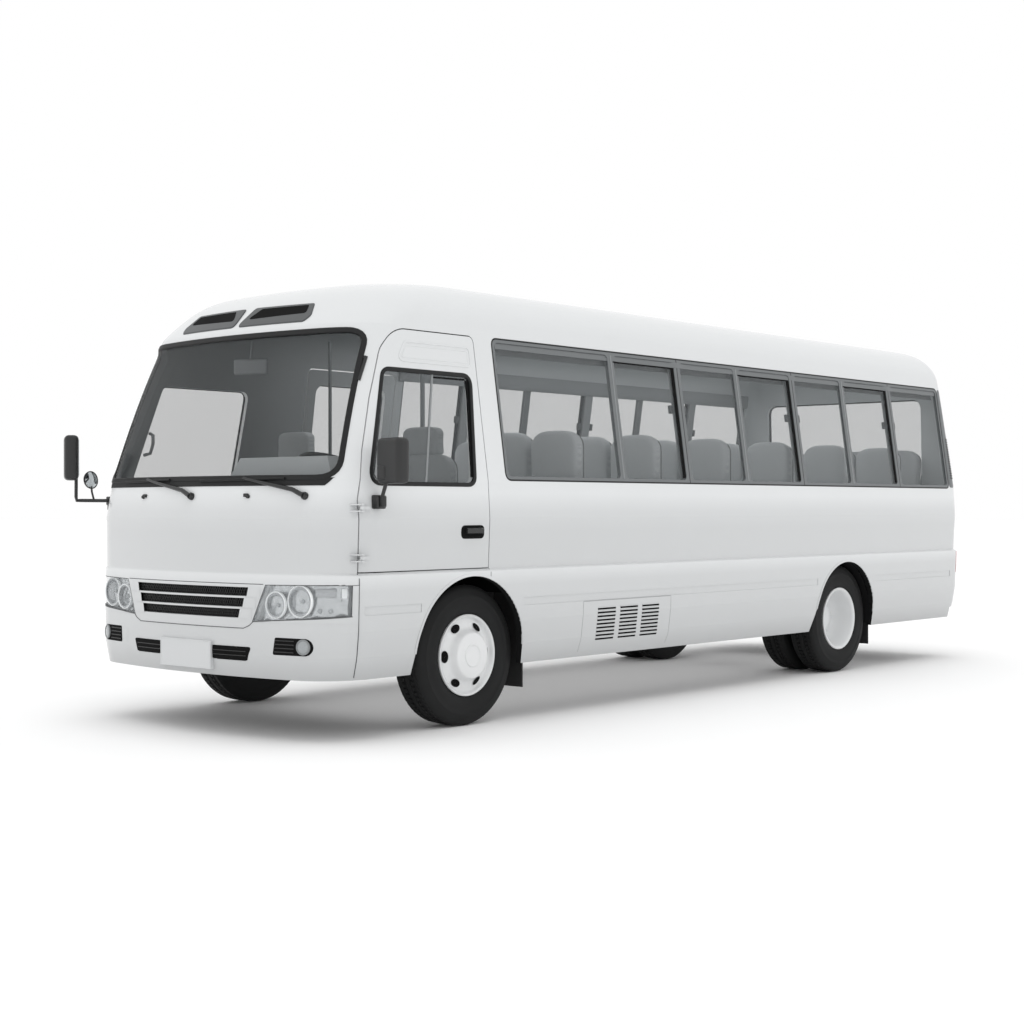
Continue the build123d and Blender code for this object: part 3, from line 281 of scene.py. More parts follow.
# Near black for two things. It is real black trim such as seal bars, the window channel and the rear louvres.
# It is also painted shade laid over openings and recesses: vent slots and mouths, bumper pockets and intakes,
# handle cups, the grille's backing and the front wheels' hand holes.
DARK_TRIM_AND_HOLLOW_SHADE = Finish("dark_trim_and_painted_hollow_shade", "black_plastic", (0.005, 0.005, 0.0052), 0.8, grain=500.0, specular=0.1)
LENS = Finish("clear_lamp_lens", "lamp_lens", (0.75, 0.78, 0.80), 0.03, Texture.CLEAR, alpha=0.12)
REFLECTOR = Finish("silver_reflector", "lamp_lens", (0.50, 0.52, 0.53), 0.2, Texture.BRUSHED, metallic=1.0,
                   grain=90.0, bump=0.25, spread=0.04)
# Painted reflection: the bowls' chrome is darkened to stand in for the dark reflections inside the lamps,
# which the white surroundings would not give.
CHROME = Finish("chrome_bowl_painted_dark_reflection", "lamp_lens", (0.36, 0.375, 0.385), 0.12, Texture.BRUSHED, metallic=1.0,
                grain=60.0, bump=0.3, spread=0.12)
FOG_GLASS = Finish("fog_lamp_glass", "lamp_lens", (0.30, 0.32, 0.33), 0.1, grain=260.0, bump=0.5, coat=1.0,
                   spread=0.3)
# Near white for the bezel rings round the headlamp bowls and the side lamp block: real parts, coloured as a
# painted highlight for their glint.
PAINTED_RING_HIGHLIGHT = Finish("lamp_rings_painted_highlight", "lamp_lens", (0.88, 0.90, 0.91), 0.12, grain=300.0, coat=1.0)
MIRROR = Finish("mirror_glass", "lamp_lens", (0.62, 0.65, 0.66), 0.05, Texture.BRUSHED, metallic=1.0,
                grain=30.0, bump=0.02, spread=0.03)
RED = Finish("red_tail_lens", "red_lens", (0.36, 0.008, 0.012), 0.14, grain=420.0, bump=0.3, coat=0.8)
SMOKED = Finish("smoked_tail_lens", "red_lens", (0.06, 0.012, 0.014), 0.14, grain=420.0, bump=0.3, coat=0.8)
PLATE = Finish("white_plate", "plate_white", (0.60, 0.612, 0.62), 0.4, Texture.PAINT, grain=600.0,
               spread=0.02)
CLOTH = Finish("grey_seat_cloth", "seat_fabric", (0.50, 0.523, 0.533), 0.9, Texture.CLOTH, grain=260.0,
               bump=0.6, spread=0.16)
PIPING = Finish("dark_seat_piping", "seat_fabric", (0.16, 0.168, 0.172), 0.6, grain=900.0)
FLOOR_COVER = Finish("grey_floor_cover", "floor_grey", (0.26, 0.27, 0.275), 0.75, grain=420.0, bump=0.3)
CHASSIS = Finish("black_chassis_paint", "chassis_black", (0.016, 0.016, 0.017), 0.5, grain=240.0, bump=0.2)
IRON = Finish("cast_iron", "engine_iron", (0.075, 0.074, 0.072), 0.65, grain=300.0, bump=0.5, metallic=0.6)
STEEL = Finish("dull_exhaust_pipe", "exhaust_steel", (0.24, 0.23, 0.22), 0.42, Texture.BRUSHED, metallic=0.9,
               grain=200.0)
FLAP = Finish("black_mud_flap", "flap_rubber", (0.012, 0.012, 0.0125), 0.7, grain=300.0, bump=0.3)
TYRE = Finish("black_tyre_tread", "tyre_rubber", (0.012, 0.0124, 0.0127), 0.7, grain=420.0, bump=0.3,
              spread=0.12, specular=0.2)
WHEEL = Finish("white_wheel_paint", "wheel_white", (0.74, 0.75, 0.755), 0.34, Texture.PAINT, coat=0.3,
               grain=600.0, bump=0.05, spread=0.02)


def rounded(corners: Sequence[Flat], radius: float, closed: bool = True) -> list[Vector]:
    """Round the corners of an outline.

    Args:
        corners: Its corners in order.
        radius: Corner radius.
        closed: Whether the last corner joins the first.

    Returns:
        The rounded outline.
    """
    points = [Vector(c) for c in corners]
    out: list[Vector] = []
    for i, corner in enumerate(points):
        if not closed and i in (0, len(points) - 1):
            out.append(corner)
            continue
        before = points[i - 1] - corner
        after = points[(i + 1) % len(points)] - corner
        half = before.angle(after) / 2
        cut = min(radius / max(math.tan(half), 1e-4), before.length * 0.49, after.length * 0.49)
        start = corner + before.normalized() * cut
        end = corner + after.normalized() * cut
        for k in range(CORNER_STEPS + 1):
            t = k / CORNER_STEPS
            out.append(start * (1 - t) ** 2 + corner * (2 * t * (1 - t)) + end * t ** 2)
    return out


def spaced(points: Sequence[Vector], step: float, closed: bool = True) -> list[Vector]:
    """Add points so that none are further apart than a step.

    Args:
        points: A path.
        step: Longest run between points.
        closed: Whether the path closes.

    Returns:
        The denser path.
    """
    out: list[Vector] = []
    count = len(points) if closed else len(points) - 1
    for i in range(count):
        a, b = points[i], points[(i + 1) % len(points)]
        parts = max(1, math.ceil((b - a).length / step))
        out.extend(a.lerp(b, k / parts) for k in range(parts))
    if not closed:
        out.append(points[-1])
    return out


def grown(points: Sequence[Vector], by: float) -> list[Vector]:
    """Move a closed flat outline outwards.

    Args:
        points: The outline, in either direction.
        by: Distance, negative to shrink.

    Returns:
        The moved outline.
    """
    middle = sum(points, Vector((0.0, 0.0))) / len(points)
    out = []
    for i, p in enumerate(points):
        along = points[(i + 1) % len(points)] - points[i - 1]
        normal = Vector((along.y, -along.x)).normalized()
        if normal.dot(p - middle) < 0:
            normal = -normal
        out.append(p + normal * by)
    return out


def line(*points: Sequence[float], step: float = 0.03) -> list[Vector]:
    """Give an open path through some points, with more between them."""
    return spaced([Vector(p) for p in points], step, False)


def panel(corners: Sequence[Flat], radius: float, step: float = 0.02) -> list[Vector]:
    """Give a closed outline with rounded corners and points all along it."""
    return spaced(rounded(corners, radius), step)


def oblong(a0: float, a1: float, b0: float, b1: float) -> tuple[Flat, ...]:
    """Give the corners of a rectangle from its two spans."""
    return (a0, b0), (a1, b0), (a1, b1), (a0, b1)


def turns(count: int) -> list[float]:
    """Give the angles of a full turn in equal steps."""
    return [2 * math.pi * k / count for k in range(count)]


class Skin:
    """Rays onto the solids, to lay trim on their faces."""

    # Where rays start, and how far along one that misses the nearest face is looked for
    far = 10.0
    near_end = 6.75
    near_side = 9.0

    def __init__(self, *names: str) -> None:
        """Gather the faces of solids.

        Args:
            names: The solids' nodes.
        """
        verts: list[Vector] = []
        faces: list[tuple[int, ...]] = []
        for name in names:
            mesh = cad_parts[name].data
            base = len(verts)
            verts.extend(v.co.copy() for v in mesh.vertices)
            faces.extend(tuple(base + i for i in p.vertices) for p in mesh.polygons)
        self.tree = BVHTree.FromPolygons(verts, faces)

    def hit(self, start: Vector, way: Vector) -> Spot:
        """Find the first face that a ray meets, or the one nearest to where it should.

        Args:
            start: Where the ray starts.
            way: Its direction.

        Returns:
            The point and its outward normal.
        """
        at, normal, _, _ = self.tree.ray_cast(start, way)
        if at is None:
            reach = self.near_end if abs(way.y) > 0.5 else self.near_side
            at, normal, _, _ = self.tree.find_nearest(start + way * reach)
        return at, (normal if normal.dot(way) < 0 else -normal)

    def front(self, p: Vector) -> Spot:
        """Find the face ahead of a point (x, z) of the front view."""
        return self.hit(Vector((p[0], -self.far, p[1])), Vector((0.0, 1.0, 0.0)))

    def rear(self, p: Vector) -> Spot:
        """Find the face behind a point (x, z) of the rear view."""
        return self.hit(Vector((p[0], self.far, p[1])), Vector((0.0, -1.0, 0.0)))

    def left(self, p: Vector) -> Spot:
        """Find the face at a point (y, z) of the left view."""
        return self.hit(Vector((self.far, p[0], p[1])), Vector((-1.0, 0.0, 0.0)))

    def right(self, p: Vector) -> Spot:
        """Find the face at a point (y, z) of the right view."""
        return self.hit(Vector((-self.far, p[0], p[1])), Vector((1.0, 0.0, 0.0)))

    def view(self, side: Side) -> View:
        """Give the projection of one side."""
        return self.left if side is Side.LEFT else self.right


class Shape:
    """Vertices and faces of one piece, gathered from simple forms."""

    def __init__(self) -> None:
        """Start empty."""
        self.verts: list[Vector] = []
        self.faces: list[tuple[int, ...]] = []

    def grid(self, rows: Sequence[Sequence[Vector]], loop: bool = False, ring: bool = False,
             caps: bool = False) -> None:
        """Skin a grid of points.

        Args:
            rows: Rows of points of one length.
            loop: Whether each row closes on itself.
            ring: Whether the last row joins the first.
            caps: Whether the first and last rows are closed by a face.
        """
        base, wide, tall = len(self.verts), len(rows[0]), len(rows)
        for row in rows:
            self.verts.extend(Vector(p) for p in row)
        for j in range(tall if ring else tall - 1):
            for i in range(wide if loop else wide - 1):
                near, far = base + j * wide, base + (j + 1) % tall * wide
                k = (i + 1) % wide
                self.faces.append((near + i, near + k, far + k, far + i))
        if caps:
            self.faces.append(tuple(base + i for i in range(wide))[::-1])
            self.faces.append(tuple(base + (tall - 1) * wide + i for i in range(wide)))

    def sweep(self, spots: Sequence[Spot], profile: Sequence[Flat], closed: bool = True) -> None:
        """Run a profile along a path on a surface.

        Args:
            spots: Points with their normals.
            profile: Closed section as (across, up).
            closed: Whether the path closes.
        """
        rows = []
        count = len(spots)
        for i, (p, up) in enumerate(spots):
            after = spots[(i + 1) % count][0] if closed or i < count - 1 else p
            before = spots[i - 1][0] if closed or i > 0 else p
            across = (after - before).cross(up).normalized()
            rows.append([p + across * a + up * b for a, b in profile])
        self.grid(rows, loop=True, ring=closed, caps=not closed)

    def strip(self, spots: Sequence[Spot], width: float, height: float, closed: bool = True,
              sunk: float = 0.004) -> None:
        """Run a soft-edged strip along a path on a surface.

        Args:
            spots: Points with their normals.
            width: Full width.
            height: Rise above the surface.
            closed: Whether the path closes.
            sunk: Depth of its foot below the surface.
        """
        w = width / 2
        half = [(w, -sunk), (w, height * 0.4), (w * 0.7, height)]
        self.sweep(spots, [(-a, b) for a, b in half] + half[::-1], closed)

    def trace(self, view: View, path: Sequence[Vector], width: float, height: float, closed: bool = True,
              sunk: float = 0.004) -> None:
        """Run a soft-edged strip along a flat path that is laid on a surface."""
        self.strip([view(p) for p in path], width, height, closed, sunk)

    def tube(self, path: Sequence[Vector], radius: float | Sequence[float], sides: int = 12,
             closed: bool = False) -> None:
        """Run a round bar along a path.

        Args:
            path: Points along its middle.
            radius: One radius, or one for each point.
            sides: Sides of the section.
            closed: Whether the path closes.
        """
        count = len(path)
        radii = [radius] * count if isinstance(radius, float) else list(radius)
        rows = []
        up = Vector((0.0, 0.0, 1.0))
        for i, p in enumerate(path):
            after = path[(i + 1) % count] if closed or i < count - 1 else p
            before = path[i - 1] if closed or i > 0 else p
            along = (after - before).normalized()
            across = along.cross(up)
            if across.length < 0.05:
                across = along.cross(Vector((0.0, 1.0, 0.0)))
            across.normalize()
            up = across.cross(along).normalized()
            r = radii[i]
            rows.append([p + across * (r * math.cos(a)) + up * (r * math.sin(a)) for a in turns(sides)])
        self.grid(rows, loop=True, ring=closed, caps=not closed)

    def lathe(self, profile: Sequence[Flat], place: Matrix, steps: int = 48, closed: bool = False) -> None:
        """Turn a profile about the local Z axis.

        Args:
            profile: Points as (radius, height).
            place: Where the axis lies.
            steps: Steps around the axis.
            closed: Whether the profile closes on itself.
        """
        rows = []
        for r, h in profile:
            rows.append([place @ Vector((r * math.cos(a), r * math.sin(a), h)) for a in turns(steps)])
        self.grid(rows, loop=True, ring=closed)

    def slab(self, outline: Sequence[Vector], project: View, lift: float, depth: float = 0.004,
             inset: float = 0.002) -> None:
        """Lay a thin plate with eased edges over a surface.

        Args:
            outline: Closed flat outline.
            project: The view that it is laid in.
            lift: Rise of its face above the surface.
            depth: Depth of its foot below the surface.
            inset: Width of its eased edge.
        """
        middle = sum(outline, Vector((0.0, 0.0))) / len(outline)
        rings: list[list[Vector]] = []
        for shrink, up in ((0.0, -depth), (0.0, lift * 0.3), (inset, lift)):
            ring = grown(outline, -shrink) if shrink else outline
            rings.append([p + n * up for p, n in (project(q) for q in ring)])
        edge = grown(outline, -inset)
        for t in (0.75, 0.5, 0.25, 0.05):
            rings.append([p + n * lift for p, n in (project(middle.lerp(q, t)) for q in edge)])
        self.grid(rings, loop=True, caps=True)

    def box(self, size: Sequence[float], place: Matrix, bevel: float = 0.0, segments: int = 3) -> None:
        """Add a box with rounded edges.

        Args:
            size: Its three sizes.
            place: Where its middle lies.
            bevel: Edge radius.
            segments: Steps on each rounded edge.
        """
        work = bmesh.new()
        bmesh.ops.create_cube(work, size=1.0)
        bmesh.ops.scale(work, vec=Vector(size), verts=work.verts)
        if bevel > 0:
            bmesh.ops.bevel(work, geom=list(work.edges), offset=bevel, segments=segments, profile=0.6,
                            affect="EDGES")
        self._take(work, place)

    def pad(self, size: Sequence[float], place: Matrix, crown: float, top_round: float = 0.0) -> None:
        """Add a crowned cushion whose sides pull in between its corners.

        Args:
            size: Its three sizes, with the crown on the side towards -Y and +Z.
            place: Where its middle lies.
            crown: Height of the crown.
            top_round: Radius of the two upper corners in the front view.
        """
        work = bmesh.new()
        bmesh.ops.create_cube(work, size=2.0)
        bmesh.ops.subdivide_edges(work, edges=list(work.edges), cuts=9, use_grid_fill=True)
        hx, hy, hz = (s / 2 for s in size)
        for v in work.verts:
            u = Vector(v.co)
            edge = (abs(u.x) ** 7 + abs(u.y) ** 7 + abs(u.z) ** 7) ** (1 / 7)
            u = u / edge
            swell = (1 - u.x ** 2) * (1 - u.z ** 2) * (1.0 if hy < hz else 0.0)
            lift = (1 - u.x ** 2) * (1 - u.y ** 2) * (1.0 if hy >= hz else 0.0)
            pull = 0.012 * ((1 - u.y ** 2) if hy >= hz else (1 - u.z ** 2))
            x, y, z = u.x * (hx - pull), u.y * hy, u.z * hz
            y -= crown * swell * max(-u.y, 0.0)
            z += crown * lift * max(u.z, 0.0)
            over = z - (hz - top_round)
            if top_round > 0 and over > 0:
                keep = hx - top_round + math.sqrt(max(top_round ** 2 - min(over, top_round) ** 2, 0.0))
                x *= keep / hx
            v.co = (x, y, z)
        self._take(work, place)

    def _take(self, work: bmesh.types.BMesh, place: Matrix) -> None:
        """Add another mesh's faces and free it.

        Args:
            work: The mesh.
            place: Where it goes.
        """
        base = len(self.verts)
        work.verts.index_update()
        self.verts.extend(place @ v.co for v in work.verts)
        self.faces.extend(tuple(base + v.index for v in f.verts) for f in work.faces)
        work.free()

    def make(self, name: str, finish: Finish, body: str = ROOT, sharp: float = 38.0) -> bpy.types.Object:
        """Turn the shape into a piece that rides on a body.

        Args:
            name: The piece's name.
            finish: Its finish.
            body: The body that it rides on.
            sharp: Angle in degrees above which an edge stays sharp.

        Returns:
            The new object.
        """
        mesh = bpy.data.meshes.new(name)
        mesh.from_pydata([tuple(v) for v in self.verts], [], self.faces)
        work = bmesh.new()
        work.from_mesh(mesh)
        bmesh.ops.remove_doubles(work, verts=work.verts, dist=1e-6)
        bmesh.ops.recalc_face_normals(work, faces=work.faces)
        work.to_mesh(mesh)
        work.free()
        mesh.polygons.foreach_set("use_smooth", [True] * len(mesh.polygons))
        mesh.set_sharp_from_angle(angle=math.radians(sharp))
        mesh.materials.append(finish.material())
        piece = bpy.data.objects.new(name, mesh)
        bpy.context.scene.collection.objects.link(piece)
        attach(piece, body)
        LOG.info("%s: %d faces on %s", name, len(mesh.polygons), body)
        return piece


def at(x: float, y: float, z: float) -> Matrix:
    """Give a place without a turn."""
    return Matrix.Translation((x, y, z))


def facing(point: Vector, way: Vector) -> Matrix:
    """Give a place whose local Z points along a way.

    Args:
        point: The origin.
        way: Direction of local Z. Local Y lies as near to upright as it can.

    Returns:
        The place.
    """
    z = way.normalized()
    x = UP.cross(z)
    if x.length < 1e-3:
        x = Vector((1.0, 0.0, 0.0))
    x.normalize()
    y = z.cross(x)
    turn = Matrix((x, y, z)).transposed().to_4x4()
    return Matrix.Translation(point) @ turn


def dress(name: str, *finishes: Finish, pick: Callable[[Vector, Vector], int] | None = None) -> None:
    """Put finishes on a solid of the frame, face by face.

    Args:
        name: The solid's node.
        finishes: The finishes, in order.
        pick: Gives a face's finish from its middle and normal.
    """
    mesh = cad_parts[name].data
    mesh.materials.clear()
    for finish in finishes:
        mesh.materials.append(finish.material())
    if pick:
        mesh.polygons.foreach_set("material_index", [pick(p.center, p.normal) for p in mesh.polygons])


@dataclass
class BodyWork:
    """Painted shell, with its lining inside and its seams."""

    shell: tuple[str, ...] = ("roof", "front_shell", "left_side", "right_side", "rear_panel", "driver_door",
                              "passenger_door", "front_bumper", "rear_bumper", "grille")
    spine: Span = (-2.6, 2.9, 0.9, 1.75)
    arches: tuple[Point, ...] = ((-2.325, 0.394, 0.420), (1.644, 0.390, 0.402))
    seam: float = 0.004
    front_seam_y: float = -3.155
    door_rear_y: float = -2.19
    door_sill_z: float = 0.852
    lip: float = 0.016
    skirt: float = 0.045
    liner: Flat = (0.500, 0.985)
    lamp_seam: tuple[Flat, ...] = ((0.490, 0.602), (0.574, 0.790), (0.985, 0.796))
    grille_seam: tuple[Flat, ...] = ((0.0, 0.566), (0.430, 0.566), (0.470, 0.582), (0.495, 0.602),
                                     (0.560, 0.606), (0.985, 0.640))

    def inside(self, p: Vector, normal: Vector) -> int:
        """Tell lining and underseal from paint.

        Args:
            p: Middle of a face.
            normal: Its normal.

        Returns:
            0 for paint, 1 for lining, 2 for underseal.
        """
        y0, y1, z0, z1 = self.spine
        middle = Vector((0.0, min(max(p.y, y0), y1), min(max(p.z, z0), z1)))
        for y, z, r in self.arches:
            near = abs(p.y - y) < r + self.skirt if p.z < z else abs(math.hypot(p.y - y, p.z - z) - r) < 0.012
            if near and abs(normal.x) < 0.3 and normal.z < 0.2 and p.z < 0.86:
                return 2
        if normal.dot((p - middle).normalized()) < -0.35:
            return 1 if p.z > 0.70 else 2
        return 2 if normal.z < -0.9 and p.z < 0.4 else 0

    def build(self) -> None:
        """Paint the shell and draw its seams."""
        for name in self.shell:
            dress(name, PAINT, HEADLINER, UNDERSEAL, pick=self.inside)
        self.seams()
        self.arch_lips()
        self.arch_liners()

    def seams(self) -> None:
        """Draw the gaps between panels that meet without a step."""
        skin = Skin("front_shell", "front_bumper", "front_lamps", "grille", "left_side", "right_side")
        seams = Shape()
        for s in (1, -1):
            view = skin.left if s > 0 else skin.right
            run = line((self.front_seam_y, 0.33), (self.front_seam_y, self.door_sill_z))
            seams.trace(view, run, self.seam, 0.003, False)
            run = line((self.door_rear_y, 0.80), (self.door_rear_y, self.door_sill_z), step=0.02)
            seams.trace(view, run, self.seam, 0.0006, False)
            for edge, rise in ((self.lamp_seam, 0.0008), (self.grille_seam, 0.0022)):
                seams.trace(skin.front, line(*((s * x, z) for x, z in edge)), self.seam, rise, False)
        seams.trace(skin.front, line((-0.56, 0.793), (0.56, 0.793)), self.seam, 0.0008, False)
        seams.make("panel_seams", SEAM)

    def arch_lips(self) -> None:
        """Roll a slim lip round each wheel arch."""
        skin = Skin("front_shell", "left_side", "right_side")
        lips = Shape()
        for y, z, r in self.arches:
            for side in Side:
                reach = r + self.lip / 2
                span = [math.radians(a) for a in range(4, 177, 4)]
                run = [Vector((y + reach * math.cos(a), z + reach * math.sin(a))) for a in span]
                lips.trace(skin.view(side), run, self.lip, 0.004, False)
        lips.make("arch_lips", PAINT)

    def arch_liners(self) -> None:
        """Line the rear wheel arches with a dark half drum."""
        liners = Shape()
        y, z, r = self.arches[1]
        for side in Side:
            ring = []
            inner, outer = (side.value * x for x in self.liner)
            span = [math.radians(a) for a in range(-8, 189, 4)]
            for reach, x in ((r + 0.004, outer), (r + 0.004, inner), (r + 0.010, inner), (r + 0.010, outer)):
                ring.append([Vector((x, y + reach * math.cos(a), z + reach * math.sin(a))) for a in span])
            liners.grid(ring, ring=True)
        liners.make("rear_arch_liners", UNDERSEAL)


@dataclass
class Glazing:
    """Windows with their seals, rails and latches."""

    screen: tuple[Flat, ...] = ((-0.930, 1.338), (0.930, 1.338), (0.848, 2.090), (-0.848, 2.090))
    screen_corner: float = 0.075
    border: float = 0.046
    driver_pane: tuple[Flat, ...] = ((-3.071, 1.310), (-2.900, 1.890), (-2.252, 1.890), (-2.305, 1.310))
    driver_divider: tuple[Flat, Flat] = ((-2.673, 1.312), (-2.540, 1.888))
    entry_pane: tuple[Flat, ...] = oblong(-1.705, -1.085, 1.010, 1.965)
    tail_pane: tuple[Flat, ...] = oblong(-0.720, 0.720, 1.372, 2.050)
    band_z: Flat = (1.332, 2.118)
    band_y: dict[Side, Flat] = field(default_factory=lambda: {
        Side.LEFT: (-2.043, 3.255), Side.RIGHT: (-0.930, 3.255)})
    separators: tuple[float, ...] = (-0.287, 1.083, 2.458)
    sliders: tuple[float, ...] = (-0.970, 0.385, 1.765)
    edge: float = 0.022
    latch_z: float = 1.80
    pillar: Flat = (0.084, 0.012)

    def build(self) -> None:
        """Glaze the frame's windows and add their fittings."""
        for name in ("side_glass", "rear_glass", "driver_door_glass", "passenger_door_glass"):
            dress(name, GLASS)
        dress("windscreen", SCREEN_GLASS)
        dress("window_frames", FRAME_GREY)
        self.screen_rubber()
        self.door_windows()
        self.side_bands()

    def screen_rubber(self) -> None:
        """Fit the rubber round the windscreen and the tail window."""
        front = Skin("front_shell", "roof", "windscreen")
        outline = grown(panel(self.screen, self.screen_corner, 0.03), 0.006)
        rubber = Shape()
        rubber.trace(front.front, outline, 0.030, 0.006, sunk=0.012)
        shell = Skin("front_shell", "roof")
        (left, foot), (right, _) = self.screen[:2]
        rows = []
        for j in range(5):
            drop = min(foot + 0.030 - (0.030 + self.border) * j / 4, foot - 0.006)
            tuck = 0.010 + 0.040 * (j / 4) ** 2
            xs = [left - 0.010 + tuck + (right - left + 0.020 - 2 * tuck) * i / 80 for i in range(81)]
            spots = [shell.front(Vector((x, drop))) for x in xs]
            rows.append([p + n * 0.0025 for p, n in spots])
        rubber.grid(rows)
        rear = Skin("rear_panel", "roof", "rear_glass")
        outline = grown(panel(self.tail_pane, 0.08, 0.03), 0.006)
        rubber.trace(rear.rear, outline, 0.034, 0.007, sunk=0.012)
        rubber.make("screen_rubbers", RUBBER)

    def door_windows(self) -> None:
        """Frame the windows of the two doors and of the front passenger."""
        left = Skin("driver_door", "driver_door_glass")
        self._pane_frame("driver_window_frame", left.left, self.driver_pane, "driver_door")
        divider = Shape()
        divider.trace(left.left, line(*self.driver_divider), 0.014, 0.004, False, sunk=0.003)
        divider.make("driver_window_divider", RAIL_GREY, "driver_door")
        gap = Shape()
        head = line((-2.532, 1.872), (-2.290, 1.872), step=0.02)
        tail = line((-2.276, 1.868), (-2.272, 1.80), (-2.308, 1.345), step=0.02)
        gap.trace(left.left, head, 0.009, 0.0015, False)
        gap.trace(left.left, tail, 0.026, 0.0015, False)
        gap.make("driver_window_channel", DARK_TRIM_AND_HOLLOW_SHADE, "driver_door")
        entry = Skin("passenger_door", "passenger_door_glass")
        self._pane_frame("entry_window_frame", entry.right, self.entry_pane, "passenger_door")
        mate = Skin("front_shell", "side_glass")
        self._pane_frame("front_quarter_frame", mate.right, self.driver_pane, ROOT)

    def _pane_frame(self, name: str, view: View, pane: Sequence[Flat], body: str) -> None:
        """Fit a frame round one pane.

        Args:
            name: The piece's name.
            view: The side's projection.
            pane: Corners of the pane.
            body: The body that it rides on.
        """
        outline = grown(panel(pane, 0.05, 0.03), 0.007)
        trim = Shape()
        trim.trace(view, outline, 0.022, 0.003, sunk=0.011)
        trim.make(name, RUBBER, body)

    def side_bands(self) -> None:
        """Trim the side windows: outer line, seal bars, rails and latches."""
        lines, bars, rails, latches, pillars, heads = (Shape() for _ in range(6))
        skin = Skin("left_side", "right_side", "window_frames", "side_glass", "roof")
        z0, z1 = self.band_z
        for side in Side:
            view = skin.view(side)
            y0, y1 = self.band_y[side]
            band = panel(oblong(y0, y1, z0, z1), 0.045, 0.04)
            lines.trace(view, band, 0.009, 0.0015)
            top = line((y0 + 0.03, z1 - 0.040), (y1 - 0.03, z1 - 0.040), step=0.05)
            heads.trace(view, top, 0.034, 0.002, False)
            for y in self.separators:
                run = line((y, z0 + 0.004), (y, z1 - 0.004), step=0.05)
                lines.trace(view, run, 0.005, 0.001, False)
                if y < y0:
                    continue
                bar_y = y - self.edge - 0.022
                bar = line((bar_y, z0 + self.edge + 0.012), (bar_y, z1 - 0.058), step=0.05)
                bars.trace(view, bar, 0.032, 0.002, False)
                post = [(p - n * 0.040, n) for p, n in (view(q) for q in line(*run, step=0.1))]
                pillars.strip(post, self.pillar[0], self.pillar[1], False)
            for y in self.sliders:
                if y < y0:
                    continue
                run = line((y, z0 + self.edge), (y, z1 - self.edge), step=0.05)
                rails.trace(view, run, 0.011, 0.003, False)
                stop = next(v for v in self.separators if v > y)
                head = line((y + 0.02, z1 - 0.060), (stop - self.edge - 0.012, z1 - 0.060), step=0.05)
                bars.trace(view, head, 0.009, 0.0015, False)
            for y in self.separators:
                for where in (y - 0.076, y + 0.068):
                    if y0 + 0.03 < where < y1 - 0.03:
                        p, n = view(Vector((where, self.latch_z)))
                        latches.box((0.034, 0.052, 0.020), facing(p - n * 0.024, n), 0.006)
        lines.make("window_band_lines", RUBBER)
        bars.make("window_seal_bars", DARK_TRIM_AND_HOLLOW_SHADE)
        rails.make("window_slide_rails", RAIL_GREY)
        latches.make("window_latches", VENT_GREY)
        pillars.make("window_pillars", COVE)
        heads.make("window_heads", FRAME_GREY)


